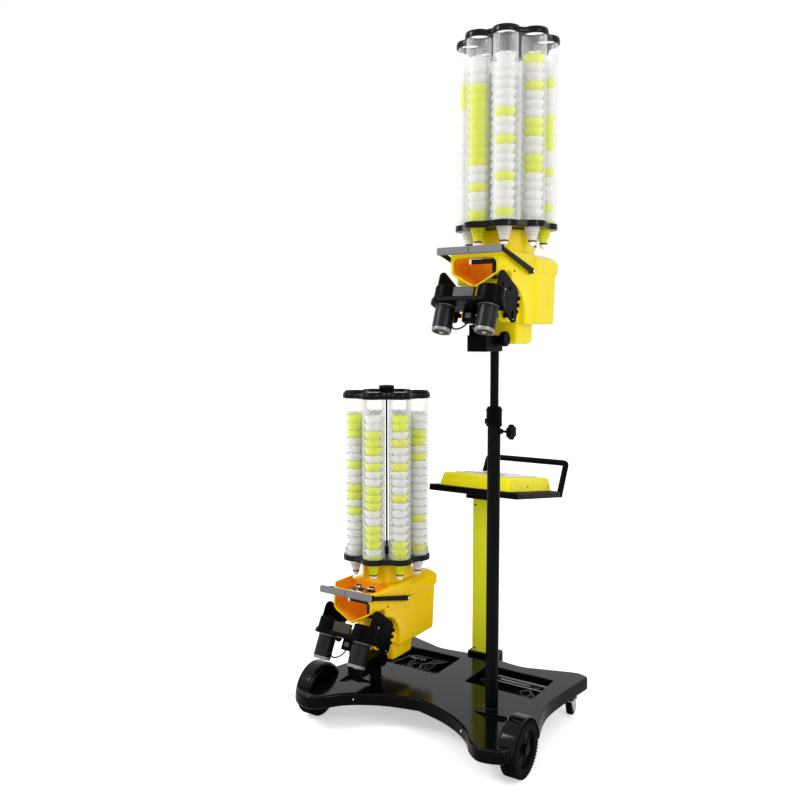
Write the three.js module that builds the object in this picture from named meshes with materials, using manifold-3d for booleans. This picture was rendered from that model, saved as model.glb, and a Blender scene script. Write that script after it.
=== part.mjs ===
// Badminton shuttlecock machine: a wheeled platform, two shooting heads with
// rotary magazines of clear tubes, one on a short post and one on a telescopic
// mast, and a sloping control console on a column.
// Millimetres, +Z up. The machine shoots towards -Y. In this file zero height
// is the top of the deck; the last lines set the whole machine down so that
// the floor is at z = 0 below the middle of its box.
import * as THREE from 'three';
import { mergeVertices } from 'three/addons/utils/BufferGeometryUtils.js';
import Module from 'manifold-3d';

const wasm = await Module();
wasm.setup();

// Clearances
const seatGap = 0.3;          // between two pieces that rest on each other
const runGap = 0.35;          // radial gap of a turning or sliding fit
const overrun = 4;            // how far a cutting tool passes the face it cuts

// Platform
const deck = {
  halfWidth: 426, frontWaist: 160, frontShoulderIn: 256, frontShoulder: 205,
  frontBulgeIn: 174, frontBulge: 300, noseIn: 96, frontNose: 334, noseCornerIn: 24, noseCorner: 312,
  fenderFront: 262, fenderRear: 96, sideWaistIn: 36, sideWaistY: 70,
  rearCornerIn: 8, rearCornerY: 345, rearRound: 22, rearTipIn: 64, rearTipY: 372,
  rearBendIn: 186, rearBendY: 334, rearWaistIn: 266, rearWaistY: 316, rearMiddle: 340,
  skirt: 64, wall: 4.5, thick: 6, edgeRound: 5,
};
const tray = { inner: 60, outerIn: 101, front: 75, rear: 258, depth: 44, wall: 3.5 };
const pocket = {              // the shallow triangle in the deck before each pole
  nearIn: 41, nearY: -116, outward: 89, outY: -96, tipOut: 81, tipY: -174, depth: 11, wall: 3.5,
};
const column = {
  y: 350, width: 93, depth: 53, corner: 6, seamX: 34, seamWidth: 2, seamDepth: 1.6,
  footRim: 12.5, footHeight: 15, footLow: 30, footWall: 4,
};

// Front wheels on stub axles, and rear casters
const wheel = {
  y: -191, axisDrop: 40, radius: 90, lugDepth: 5, lugs: 20, width: 52, proud: 1,
  hubRadius: 17, hubStand: 3, dish: 58, dishDepth: 9, wellGap: 5, fenderWall: 5, axle: 9, axleBoss: 17,
};
const lugTurnShares = [0, 0.12, 0.5, 0.62];   // where a lug starts, is up, is still up and ends
const caster = {
  inset: 52, y: 284, width: 20, trail: 20, stem: 6, stemHigh: 34, bossWall: 6, crownGap: 6.7,
  crown: 5, crownHalf: 21, cheek: 3.5, sideGap: 1.2, pin: 4, cheekHalf: 11, bossDrop: 2,
};

// Poles
const poleIn = 189;           // from the deck's side to a pole's axis
const poleY = -59;
const mast = {
  radius: 21.3, wall: 3.8, slip: 3.5, foot: 44, socketWall: 9, flange: 9.7, flangeHigh: 7, top: 962,
  innerBottom: 430, showing: 180, clampBelow: 32, clampBoss: 9, clampStand: 9,
};
const collar = { wall: 5.2, grip: 16, high: 58, lipWall: 9, lip: 6, boltUp: 15, bolt: 6.5, boltStand: 5 };
const knob = { radius: 25, lobes: 6, scallop: 4, thick: 17, stem: 4, neck: 9, neckLong: 9, stand: 32 };

// Shooting heads, measured from their pole's axis and from the deck below the lower one
const block = {
  halfWidth: 34, front: 130, sideRear: 14, bossHalf: 19, bossFront: 6, low: 42, high: 93, chamfer: 6,
  socketTop: 86, uprightHalf: 28, uprightFront: 124, uprightRear: 110, uprightTop: 126,
};
const sideKnob = {
  keelGap: 25, radius: 23.5, thick: 19, stand: 6, stem: 6, sunk: 12, chamfer: 3, height: 82,
};
const shell = {               // the yellow moulded housing
  front: -147, half: 97, bottom: 130, top: 355, corner: 24, edge: 9, wall: 5,
  vLow: 238, vFoot: 6, vSide: 290, cavityRear: -19, mouthFront: -138, mouthHalf: 84,
  openHalf: 84, openTop: 330, openSide: 292, openLow: 246, openFoot: 4, openCorner: 10,
};
const rearBox = {
  front: 78, rear: 244, half: 103, draft: 12, lipLow: 300, lip: 6, lipHigh: 336, slope: 15, round: 14,
};
const keel = { half: 70, front: 19, rear: 139, low: 65, round: 10 };
const neck = { gap: 2, cornerDeg: 30.5 };
const pivot = { y: -79, z: 155, cut: 98, lug: 60, lugThick: 12, lugRadius: 20, shaft: 7 };
const bar = {                 // the bumper in front of a head
  ahead: 28, aside: 16, frontHeight: 352, rear: 47, rearHeight: 297,
  sleeveHigh: 23, sleeveThick: 15, sleeveStand: 2, armHigh: 15, armThick: 6, boss: 8,
};
const chute = { wall: 2.5, gap: 0.5, below: 3 };
const gripper = {
  postWide: 14, postDeep: 26, postY: -108, postLow: 302, railLow: 332, railHigh: 8, railDeep: 12, span: 62,
  jawLong: 46, jawHigh: 11, jawWide: 9, jawGap: 30,
};

// Launchers: two motors with throwing wheels on a tilting carriage, in the carriage's own frame
const launcher = {
  axisX: 74, reach: 112, plateLow: -12, plateHigh: 2, plateRim: 6,
  capGap: 3, capWall: 3, capHead: 5, capRound: 5, window: 15,
  bridgeFront: 146, bridgeRear: 129, bridgeHigh: 28, bridgeHalf: 31,
  armGap: 1.8, armThick: 7, armNose: 20, armNoseHigh: 40, armSlope: 26, armFrontTop: 74,
  armTop: 80, armRear: 16, armRound: 24, armLow: -24, armFoot: 18, hubCap: 14,
  footHalf: 32, footFront: 76, footRear: 52, footLow: -48,
};
const motor = { radius: 31, length: 86, capLong: 9, capInset: 2, shaft: 5, shaftUp: 30 };
const throwWheel = { radius: 36, thick: 22, low: 12, groove: 3, hub: 12, hubHigh: 6 };
const tiltDeg = { lower: 27, upper: 20 };

// Magazines, measured up from the bottom plate's underside
const magazine = {
  y: 74, bottom: 432, ringRadius: 121, tubes: 8, plate: 20, socketDeep: 10, ledge: 11,
  rim: 5, lobeSpreadDeg: 62, tubeRadius: 40, tubeWall: 1.8, tubeTop: 598, lidGrip: 12, lidThick: 16,
  knobRadius: 28, knobHigh: 27, knobEdge: 4, rod: 6, spindle: 11.5, spindleLong: 22,
};
const turnDeg = { lower: 11.5, upper: 23.5 };
const shuttle = {             // cork down, measured from the cork's tip
  cork: 13, corkRound: 6, corkSide: 29, skirtRim: 33, length: 90, hollow: 12,
  protrude: 60, pitch: 27.8, stacked: 19,
};

// Console, in its own sloping frame
const desk = { y: 228, height: 661, drop: 39, slopeDeg: 8.1 };
const frameTray = {
  half: 187, depth: 412, high: 24, rim: 16, floor: 3, corner: 10, footRim: 7.5, footPad: 8,
};
const cover = { half: 152, front: 9, rear: 405, high: 50, corner: 22, inset: 7, crown: 9 };
const panel = {
  half: 112, front: 66, rear: 338, high: 5, corner: 8, screenHalf: 84, screenFront: 150, screenDeep: 2,
};
const handle = { reach: 48, rise: 126, tube: 10, bend: 24 };

// Facets
const archSides = 24;
const roundSides = 14;
const tubeSides = 8;
const knobSides = 12;
const smallSides = 8;
const arcSteps = 2;

// Places that follow from the sizes above
const poleX = deck.halfWidth - poleIn;
const wheelOut = deck.halfWidth + wheel.proud;
const wheelIn = wheelOut - wheel.width;
const casterX = deck.halfWidth - caster.inset;
const trayOut = deck.halfWidth - tray.outerIn;
const columnTop = desk.height - desk.drop;
const mastBore = mast.radius - mast.wall;
const innerRadius = mastBore - mast.slip;
const collarLow = mast.top - collar.grip;
const lipTop = collarLow + collar.high + collar.lip;
const clampHeight = mast.top - mast.clampBelow;
const headRise = lipTop + mast.showing - block.low;
const blockRear = keel.front - seatGap;
const armIn = shell.half + launcher.armGap;
const capRadius = throwWheel.radius + launcher.capGap + launcher.capWall;
const capHigh = throwWheel.low + throwWheel.thick + launcher.capHead + launcher.capWall;
const lidLow = magazine.tubeTop - magazine.lidGrip;
const neckTop = magazine.bottom - seatGap;
const casterSpace = wheel.radius + wheel.axisDrop - deck.skirt - seatGap - caster.crown;
const casterRadius = (casterSpace - caster.crownGap) / 2;
const casterDrop = wheel.radius + wheel.axisDrop - casterRadius;

const paint = (hex, roughness, metalness = 0) =>
  new THREE.MeshStandardMaterial({ color: hex, roughness, metalness });
const finish = {
  deckBlack: paint(0x17181a, 0.22), rubber: paint(0x151515, 0.85), steelBlack: paint(0x1b1b1d, 0.4, 0.5),
  yellow: paint(0xf0cf1c, 0.35), lemon: paint(0xdcdc2a, 0.4), orange: paint(0xf08a1e, 0.4),
  greyBar: paint(0x6d6d70, 0.6), blackPlastic: paint(0x1d1d20, 0.35), motorBlack: paint(0x26272a, 0.3, 0.4),
  silver: paint(0xb9bcc0, 0.3, 0.9), panelGrey: paint(0xd6d8da, 0.35), foam: paint(0x2b2b2b, 0.9),
  loadedTube: paint(0xe9efc0, 0.3),
};

// A closed three.js geometry as a solid for joining and cutting
function solid(geometry) {
  const bare = geometry.clone();
  bare.deleteAttribute('normal');
  bare.deleteAttribute('uv');
  const merged = mergeVertices(bare);
  const kept = [];
  for (let i = 0; i < merged.index.count; i += 3) {
    const [a, b, c] = [merged.index.getX(i), merged.index.getX(i + 1), merged.index.getX(i + 2)];
    if (a !== b && b !== c && c !== a) kept.push(a, b, c);
  }
  return new wasm.Manifold(new wasm.Mesh({
    numProp: 3,
    vertProperties: new Float32Array(merged.attributes.position.array),
    triVerts: new Uint32Array(kept),
  }));
}

// A solid as a mesh with its name and finish
function piece(name, body, material) {
  const { vertProperties, triVerts } = body.getMesh();
  const geometry = new THREE.BufferGeometry();
  geometry.setAttribute('position', new THREE.BufferAttribute(vertProperties, 3));
  geometry.setIndex(new THREE.BufferAttribute(triVerts, 1));
  geometry.computeVertexNormals();
  const mesh = new THREE.Mesh(geometry, material);
  mesh.name = name;
  return mesh;
}

const join = (...solids) => solids.reduce((whole, next) => whole.add(next));
const cut = (body, ...tools) => tools.reduce((rest, tool) => rest.subtract(tool), body);
const mirrored = (body) => body.mirror([1, 0, 0]);
const both = (body) => join(body, mirrored(body));
const vec = (x, y, z) => new THREE.Vector3(x, y, z);
const radians = THREE.MathUtils.degToRad;

// A box between two corners
function box(low, high) {
  const size = high.clone().sub(low);
  const middle = low.clone().add(high).multiplyScalar(0.5);
  return solid(new THREE.BoxGeometry(size.x, size.y, size.z).translate(middle.x, middle.y, middle.z));
}

// A round bar from one point to another, which may end in another radius
function roundBar(from, to, radius, sides = roundSides, endRadius = radius) {
  const along = to.clone().sub(from);
  const geometry = new THREE.CylinderGeometry(endRadius, radius, along.length(), sides);
  geometry.applyQuaternion(new THREE.Quaternion().setFromUnitVectors(vec(0, 1, 0), along.normalize()));
  const middle = from.clone().add(to).multiplyScalar(0.5);
  return solid(geometry.translate(middle.x, middle.y, middle.z));
}

// A round hole whose flats clear a turning bar of the given radius
function bore(from, to, radius, sides = roundSides) {
  return roundBar(from, to, (radius + runGap) / Math.cos(Math.PI / sides), sides);
}

// A profile of radius and height turned about the Z axis
function turned(profile, sides = roundSides) {
  const points = profile.map(([radius, height]) => new THREE.Vector2(radius, height));
  return solid(new THREE.LatheGeometry(points, sides).rotateX(Math.PI / 2));
}

function extruded(shape, length, steps) {
  return new THREE.ExtrudeGeometry(shape, { depth: length, bevelEnabled: false, curveSegments: steps });
}

// An outline in X and Y raised from one height to another
function raised(shape, low, high, steps = arcSteps) {
  return solid(extruded(shape, high - low, steps).translate(0, 0, low));
}

// An outline drawn in Y and Z, stood up between two places along X
function sideways(shape, left, right, steps = arcSteps) {
  const turn = new THREE.Matrix4().makeBasis(vec(0, 1, 0), vec(0, 0, 1), vec(1, 0, 0));
  return solid(extruded(shape, right - left, steps).applyMatrix4(turn).translate(left, 0, 0));
}

// An outline drawn in X and Z, run between two places along Y
function lengthways(shape, front, rear, steps = arcSteps) {
  const turn = new THREE.Matrix4().makeBasis(vec(1, 0, 0), vec(0, 0, 1), vec(0, -1, 0));
  return solid(extruded(shape, rear - front, steps).applyMatrix4(turn).translate(0, rear, 0));
}

function polygon(points) {
  return new THREE.Shape(points.map(([x, y]) => new THREE.Vector2(x, y)));
}

// A rectangle with round corners, from left to right and from front to rear
function rounded(left, right, front, rear, radius) {
  const shape = new THREE.Shape();
  shape.moveTo(left + radius, front);
  shape.absarc(right - radius, front + radius, radius, -Math.PI / 2, 0);
  shape.absarc(right - radius, rear - radius, radius, 0, Math.PI / 2);
  shape.absarc(left + radius, rear - radius, radius, Math.PI / 2, Math.PI);
  shape.absarc(left + radius, front + radius, radius, Math.PI, Math.PI * 3 / 2);
  return shape;
}

// A body through rounded rectangles, each given with its height z
function lofted(levels) {
  return skinned(levels.map(({ half, front, rear, radius, z }) => {
    const points = rounded(-half, half, front, rear, radius).extractPoints(arcSteps).shape;
    return points.slice(0, -1).map((p) => vec(p.x, p.y, z));
  }));
}

// A closed skin over rings of as many points each, counted anticlockwise from the last one's side
function skinned(rings) {
  const count = rings[0].length;
  const positions = rings.flat().flatMap((p) => [p.x, p.y, p.z]);
  const index = [];
  for (let r = 0; r + 1 < rings.length; r += 1) {
    for (let i = 0; i < count; i += 1) {
      const [a, b] = [r * count + i, r * count + (i + 1) % count];
      index.push(a, b, b + count, a, b + count, a + count);
    }
  }
  const normal = vec(0, 0, 0);
  rings[0].forEach((p, i) => normal.add(p.clone().cross(rings[0][(i + 1) % count])));
  const across = rings[0][1].clone().sub(rings[0][0]).normalize();
  const side = normal.normalize().clone().cross(across);
  const flat = rings[0].map((p) => new THREE.Vector2(p.dot(across), p.dot(side)));
  const top = (rings.length - 1) * count;
  for (const [a, b, c] of THREE.ShapeUtils.triangulateShape(flat, [])) {
    index.push(a, c, b, top + a, top + b, top + c);
  }
  const geometry = new THREE.BufferGeometry();
  geometry.setAttribute('position', new THREE.Float32BufferAttribute(positions, 3));
  geometry.setIndex(index);
  return solid(geometry);
}

// The deck's outline at one height, drawn in by an inset
function deckRing(inset, z) {
  const d = deck;
  const through = (steps, ...points) => new THREE.SplineCurve(
    points.map(([x, y]) => new THREE.Vector2(x, y))).getPoints(steps);
  const side = d.halfWidth;
  const half = [
    ...through(arcSteps * 5, [0, -d.frontWaist], [side - d.frontShoulderIn, -d.frontShoulder],
      [side - d.frontBulgeIn, -d.frontBulge], [side - d.noseIn, -d.frontNose],
      [side - d.noseCornerIn, -d.noseCorner], [side, -d.fenderFront]),
    ...through(arcSteps * 2, [side, -d.fenderRear], [side - d.sideWaistIn, d.sideWaistY],
      [side - d.rearCornerIn, d.rearCornerY]),
    ...through(arcSteps * 4, [side - d.rearCornerIn - d.rearRound, d.rearCornerY + d.rearRound],
      [side - d.rearTipIn, d.rearTipY], [side - d.rearBendIn, d.rearBendY],
      [side - d.rearWaistIn, d.rearWaistY], [0, d.rearMiddle]),
  ];
  const right = half.map((point, i) => {
    const before = half[Math.max(i - 1, 0)];
    const after = half[Math.min(i + 1, half.length - 1)];
    const along = after.clone().sub(before).normalize();
    if (i === 0 || i === half.length - 1) along.set(Math.sign(along.x), 0);
    return vec(point.x - along.y * inset, point.y + along.x * inset, z);
  });
  const left = right.slice(1, -1).reverse().map((p) => vec(-p.x, p.y, z));
  return right.concat(left);
}

const wheelAt = (x) => vec(x, wheel.y, -wheel.axisDrop);
const poleAt = (z) => vec(poleX, poleY, z);
const stemAt = (z) => vec(casterX, caster.y, z);

// The right fender's casing, the well cut into it, open outwards and below, and the stub axle in it
function fender() {
  const wellRadius = wheel.radius + wheel.wellGap;
  const radius = wellRadius + wheel.fenderWall;
  const wellIn = wheelIn - wheel.wellGap;
  const casingIn = wellIn - wheel.fenderWall;
  const below = box(vec(casingIn - overrun, wheel.y - radius - overrun, -wheel.axisDrop - radius - overrun),
    vec(deck.halfWidth + overrun, wheel.y + radius + overrun, -deck.skirt));
  const casing = cut(roundBar(wheelAt(casingIn), wheelAt(deck.halfWidth), radius, archSides), below);
  const wellOut = deck.halfWidth + overrun;
  const well = join(roundBar(wheelAt(wellIn), wheelAt(wellOut), wellRadius, archSides),
    box(vec(wellIn, wheel.y - wellRadius, -deck.skirt - overrun),
      vec(wellOut, wheel.y + wellRadius, -wheel.axisDrop)));
  const stub = join(
    roundBar(wheelAt(casingIn), wheelAt(wheelOut - wheel.hubStand), wheel.axle, knobSides),
    roundBar(wheelAt(casingIn), wheelAt(wheelIn - wheel.wellGap / 3), wheel.axleBoss, knobSides),
  );
  return { casing, well, stub };
}

// The sunk tray and the shallow triangle before the pole, each with its hollow
function sunkPlaces() {
  const t = tray;
  const p = pocket;
  const [near, out] = [poleX - p.nearIn, poleX + p.outward];
  const under = -deck.thick / 2;
  const boxes = join(
    box(vec(t.inner - t.wall, t.front - t.wall, -t.depth - t.wall),
      vec(trayOut + t.wall, t.rear + t.wall, under)),
    box(vec(near - p.wall, p.tipY - p.wall, -p.depth - p.wall),
      vec(out + p.wall, p.outY + p.wall, under)),
  );
  const hollows = join(
    box(vec(t.inner, t.front, -t.depth), vec(trayOut, t.rear, overrun)),
    raised(polygon([[near, p.nearY], [poleX + p.tipOut, p.tipY], [out, p.outY]]), -p.depth, overrun),
  );
  return { boxes, hollows };
}

// What stands in the platform: a pole's socket and a caster's boss, each with its hole
function sockets() {
  const flangeRadius = mast.radius + mast.flange;
  const c = caster;
  const bossLow = -deck.skirt + c.bossDrop;
  const bosses = join(
    roundBar(poleAt(-mast.foot - deck.thick), poleAt(0), mast.radius + mast.socketWall),
    roundBar(poleAt(-deck.thick / 2), poleAt(mast.flangeHigh), flangeRadius, roundSides,
      flangeRadius - deck.edgeRound),
    roundBar(stemAt(bossLow), stemAt(-deck.thick / 2), c.stem + c.bossWall, smallSides),
  );
  const holes = join(
    bore(poleAt(-mast.foot), poleAt(mast.flangeHigh + overrun), mast.radius),
    bore(stemAt(-deck.skirt - overrun), stemAt(bossLow + c.stemHigh + seatGap), c.stem, smallSides),
  );
  return { bosses, holes };
}

// The column's foot behind the deck, hollow below, with the column's socket on top
function columnFoot() {
  const c = column;
  const half = c.width / 2 + c.footRim;
  const deep = c.depth / 2 + c.footRim;
  const foot = box(vec(-half, c.y - deep, -c.footLow), vec(half, c.y + deep, c.footHeight));
  const socket = box(vec(-c.width / 2 - seatGap, c.y - c.depth / 2 - seatGap, 0),
    vec(c.width / 2 + seatGap, c.y + c.depth / 2 + seatGap, c.footHeight + overrun));
  const under = box(vec(-half + c.footWall, c.y - deep - overrun, -c.footLow - overrun),
    vec(half - c.footWall, c.y + deep - c.footWall, -deck.thick));
  return { foot, holes: join(socket, under) };
}

function platform() {
  const outer = skinned([
    deckRing(0, -deck.skirt), deckRing(0, -deck.edgeRound), deckRing(deck.edgeRound, 0),
  ]);
  const hollow = skinned([
    deckRing(deck.wall, -deck.skirt - overrun), deckRing(deck.wall, -deck.thick - deck.edgeRound),
    deckRing(deck.wall + deck.edgeRound, -deck.thick),
  ]);
  const { casing, well, stub } = fender();
  const { boxes, hollows } = sunkPlaces();
  const { bosses, holes } = sockets();
  const { foot, holes: footHoles } = columnFoot();
  const body = cut(join(cut(outer, hollow), both(join(casing, boxes, bosses)), foot),
    both(join(well, hollows, holes)), footHoles);
  return piece('platform', join(body, both(stub)), finish.deckBlack);
}

// A front wheel with block lugs, a dished face and a hub that closes over the stub axle's end
function frontWheel(name, side) {
  const w = wheel;
  const step = Math.PI * 2 / w.lugs;
  const [foot, up] = [w.radius - w.lugDepth, w.radius];
  const tread = [];
  for (let i = 0; i < w.lugs; i += 1) {
    [foot, up, up, foot].forEach((radius, place) => {
      const angle = (i + lugTurnShares[place]) * step;
      tread.push([radius * Math.cos(angle), radius * Math.sin(angle)]);
    });
  }
  const tyre = sideways(polygon(tread), wheelIn, wheelOut);
  const dish = roundBar(vec(wheelOut - w.dishDepth, 0, 0), vec(wheelOut + overrun, 0, 0), w.dish);
  const hub = roundBar(vec(wheelOut - w.dishDepth, 0, 0), vec(wheelOut + w.hubStand, 0, 0),
    w.hubRadius, knobSides);
  const axleHole = bore(vec(wheelIn - overrun, 0, 0), vec(wheelOut - w.hubStand + seatGap, 0, 0),
    w.axle, knobSides);
  const right = cut(join(cut(tyre, dish), hub), axleHole);
  const mesh = piece(name, side > 0 ? right : mirrored(right), finish.rubber);
  mesh.position.set(0, w.y, -w.axisDrop);
  return mesh;
}

// A caster's fork turns on its stem; the pin across its cheeks carries the roller
function casterFork(name) {
  const c = caster;
  const top = -deck.skirt - seatGap;
  const inside = c.width / 2 + c.sideGap;
  const cheekTop = top - c.crown / 2;
  const crown = raised(rounded(-c.crownHalf, c.crownHalf, -c.crownHalf, c.trail + c.cheekHalf, c.cheek),
    top - c.crown, top);
  const stemTop = -deck.skirt + c.bossDrop + c.stemHigh;
  const stem = roundBar(vec(0, 0, cheekTop), vec(0, 0, stemTop), c.stem, smallSides);
  const cheek = sideways(polygon([
    [-c.cheekHalf, cheekTop], [c.trail - c.cheekHalf, -casterDrop - c.cheekHalf],
    [c.trail + c.cheekHalf, -casterDrop - c.cheekHalf], [c.trail + c.cheekHalf, cheekTop],
  ]), inside, inside + c.cheek);
  const pinEnd = inside + c.cheek;
  const pin = roundBar(vec(-pinEnd, c.trail, -casterDrop), vec(pinEnd, c.trail, -casterDrop),
    c.pin, smallSides);
  return piece(name, join(crown, stem, both(cheek), pin), finish.silver);
}

function casterRoller(name) {
  const c = caster;
  const roller = cut(
    roundBar(vec(-c.width / 2, 0, 0), vec(c.width / 2, 0, 0), casterRadius),
    bore(vec(-c.width, 0, 0), vec(c.width, 0, 0), c.pin, smallSides),
  );
  const mesh = piece(name, roller, finish.rubber);
  mesh.position.set(0, c.trail, -casterDrop);
  return mesh;
}

function casterPair(name, side) {
  const group = new THREE.Group();
  group.add(casterFork(`${name}_fork`), casterRoller(`${name}_wheel`));
  group.position.set(side * casterX, caster.y, 0);
  return group;
}

// The mast's outer tube with the boss that takes the clamp screw
function mastTube() {
  const m = mast;
  const bossOut = m.radius + m.clampStand;
  const tube = roundBar(vec(0, 0, -m.foot + seatGap), vec(0, 0, m.top), m.radius);
  const boss = roundBar(vec(0, 0, clampHeight), vec(bossOut, 0, clampHeight), m.clampBoss, smallSides);
  const hollow = roundBar(vec(0, 0, -m.foot - overrun), vec(0, 0, m.top + overrun), mastBore);
  const screwHole = bore(vec(0, 0, clampHeight), vec(bossOut + overrun, 0, clampHeight),
    knob.stem, smallSides);
  return piece('mast_tube', cut(join(tube, boss), hollow, screwHole), finish.steelBlack);
}

// The collar sits on the outer tube's end and guides the inner one
function mastCollar() {
  const c = collar;
  const radius = mast.radius + c.wall;
  const top = collarLow + c.high;
  const boltHeight = collarLow + c.boltUp;
  const body = join(
    roundBar(vec(0, 0, collarLow), vec(0, 0, top), radius),
    roundBar(vec(0, 0, top - overrun), vec(0, 0, lipTop), innerRadius + c.lipWall),
    roundBar(vec(-radius + c.wall / 2, 0, boltHeight), vec(-radius - c.boltStand, 0, boltHeight),
      c.bolt, smallSides),
  );
  const guide = bore(vec(0, 0, mast.top - overrun), vec(0, 0, lipTop + overrun), innerRadius);
  const socket = roundBar(vec(0, 0, collarLow - overrun), vec(0, 0, mast.top + seatGap),
    mast.radius + seatGap);
  return piece('mast_collar', cut(body, guide, socket), finish.blackPlastic);
}

// A lobed clamp knob on its screw, drawn along X from the screw's tip
function mastKnob() {
  const k = knob;
  const outline = [];
  const steps = k.lobes * 4;
  for (let i = 0; i < steps; i += 1) {
    const radius = k.radius - (i % 4 === 0 ? k.scallop : 0);
    const angle = i * Math.PI * 2 / steps;
    outline.push([radius * Math.cos(angle), radius * Math.sin(angle)]);
  }
  const tip = innerRadius + runGap * 2;
  const headIn = mast.radius + k.stand;
  const body = join(
    roundBar(vec(tip, 0, 0), vec(headIn, 0, 0), k.stem, smallSides),
    roundBar(vec(headIn - k.neckLong, 0, 0), vec(headIn + k.thick / 2, 0, 0), k.neck, smallSides),
    sideways(polygon(outline), headIn, headIn + k.thick),
  );
  const mesh = piece('mast_knob', body, finish.blackPlastic);
  mesh.position.z = clampHeight;
  return mesh;
}

// The inner tube reaches from inside the outer one up into the head's block
function mastInner() {
  const top = headRise + block.socketTop - seatGap;
  const tube = roundBar(vec(0, 0, mast.innerBottom), vec(0, 0, top), innerRadius);
  return piece('mast_inner_tube', tube, finish.steelBlack);
}

// The lower head's post has the mast's outer size up to the block and its inner size inside it
function shortPost() {
  const shoulder = block.low - seatGap;
  const body = join(
    roundBar(vec(0, 0, -mast.foot + seatGap), vec(0, 0, shoulder), mast.radius),
    roundBar(vec(0, 0, 0), vec(0, 0, block.socketTop - seatGap), innerRadius),
  );
  return piece('short_post', body, finish.steelBlack);
}

// The block turns on the pole's top and carries a head; it reaches forward between the motors
function mountBlock(name) {
  const b = block;
  const k = sideKnob;
  const [x, y] = [b.halfWidth - b.chamfer, b.chamfer - b.front];
  const right = [[x, -b.front], [b.halfWidth, y], [b.halfWidth, -b.sideRear], [b.bossHalf, b.bossFront],
    [b.bossHalf, blockRear]];
  const left = right.map(([across, along]) => [-across, along]).reverse();
  const body = raised(polygon([...right, ...left]), b.low, b.high);
  const upright = box(vec(-b.uprightHalf, -b.uprightFront, b.socketTop),
    vec(b.uprightHalf, -b.uprightRear, b.uprightTop));
  const stemHole = bore(vec(b.halfWidth - k.sunk, sideKnobY(), k.height),
    vec(b.halfWidth + overrun, sideKnobY(), k.height), k.stem, smallSides);
  const socket = bore(vec(0, 0, b.low - overrun), vec(0, 0, b.socketTop), innerRadius);
  return piece(name, cut(join(body, upright), socket, stemHole), finish.blackPlastic);
}

function sideKnobY() {
  return keel.front - sideKnob.keelGap - sideKnob.radius;
}

function mountKnob(name) {
  const k = sideKnob;
  const face = block.halfWidth + k.stand;
  const end = face + k.thick;
  const body = join(
    roundBar(vec(block.halfWidth - k.sunk + seatGap, 0, 0), vec(face + k.chamfer, 0, 0),
      k.stem, smallSides),
    roundBar(vec(face, 0, 0), vec(end - k.chamfer, 0, 0), k.radius, knobSides),
    roundBar(vec(end - k.chamfer, 0, 0), vec(end, 0, 0), k.radius, knobSides, k.radius - k.chamfer),
  );
  const mesh = piece(name, body, finish.blackPlastic);
  mesh.position.set(0, sideKnobY(), k.height);
  return mesh;
}

// The nose's section: flat top, upright sides and a vee below, drawn in by an inset
function veeShape(inset, top, half = shell.half - inset) {
  const s = shell;
  const slope = (s.vSide - s.vLow) / (s.half - s.vFoot);
  const low = s.vLow + inset;
  const side = low + (half - s.vFoot) * slope;
  return polygon([[-s.vFoot, low], [s.vFoot, low], [half, side], [half, top], [-half, top], [-half, side]]);
}

// The nose with its rounded corners, cut below by the space in which the launcher swings
function noseBody() {
  const s = shell;
  const plan = (inset, z) => ({
    half: s.half - inset, front: s.front + inset / 3, rear: rearBox.rear, radius: s.corner, z,
  });
  const trim = lofted([plan(0, s.bottom - overrun), plan(0, s.top - s.edge), plan(s.edge, s.top)]);
  const into = rearBox.front + rearBox.round;
  const vee = lengthways(veeShape(0, s.top), s.front, into);
  const rear = box(vec(-s.half, pivot.y, s.bottom), vec(s.half, into, s.top));
  const swing = roundBar(vec(-s.half - overrun, pivot.y, pivot.z), vec(s.half + overrun, pivot.y, pivot.z),
    pivot.cut, archSides);
  return join(cut(rear, swing), vee).intersect(trim);
}

// The rear box leans outwards up to the lip of its lid, which slopes in to the flat top
function rearBody() {
  const r = rearBox;
  const edge = shell.edge;
  const level = (grow, rearGrow, z) => ({
    half: r.half + grow, front: r.front - Math.max(grow, 0), rear: r.rear + rearGrow, radius: r.round, z,
  });
  return lofted([
    level(-edge / 2, -edge / 2, shell.bottom), level(0, 0, shell.bottom + edge),
    level(0, r.draft, r.lipLow - r.lip), level(r.lip, r.draft + r.lip, r.lipLow),
    level(r.lip, r.draft + r.lip, r.lipHigh), level(-r.slope, r.draft - r.slope, shell.top),
  ]);
}

// The keel hangs down behind the block, which carries the head by it
function keelBody() {
  const k = keel;
  const edge = shell.edge;
  const level = (inset, z) => ({
    half: k.half - inset, front: k.front, rear: k.rear - inset, radius: k.round, z,
  });
  return lofted([level(edge, k.low), level(0, k.low + edge), level(0, shell.bottom + edge * 2)]);
}

// The neck's eight corners stay clear of the shuttlecocks that circle round it
function neckBody() {
  const radius = magazine.ringRadius - shuttleRadius(0) - neck.gap;
  const wide = radius * Math.cos(radians(neck.cornerDeg));
  const short = radius * Math.sin(radians(neck.cornerDeg));
  const outline = polygon([[-short, -wide], [short, -wide], [wide, -short], [wide, short],
    [short, wide], [-short, wide], [-wide, short], [-wide, -short]]);
  return raised(outline, shell.top - shell.edge, neckTop).translate([0, magazine.y, 0]);
}

// Two lugs inside the swing space carry the launcher's shaft
function shaftLug() {
  const p = pivot;
  const rear = p.y + p.cut + shell.edge;
  const web = polygon([[p.y, p.z - p.lugRadius], [rear, p.z - p.lugRadius],
    [rear, p.z + p.lugRadius], [p.y, p.z + p.lugRadius]]);
  return join(sideways(web, p.lug, p.lug + p.lugThick),
    roundBar(vec(p.lug, p.y, p.z), vec(p.lug + p.lugThick, p.y, p.z), p.lugRadius, knobSides));
}

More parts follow.
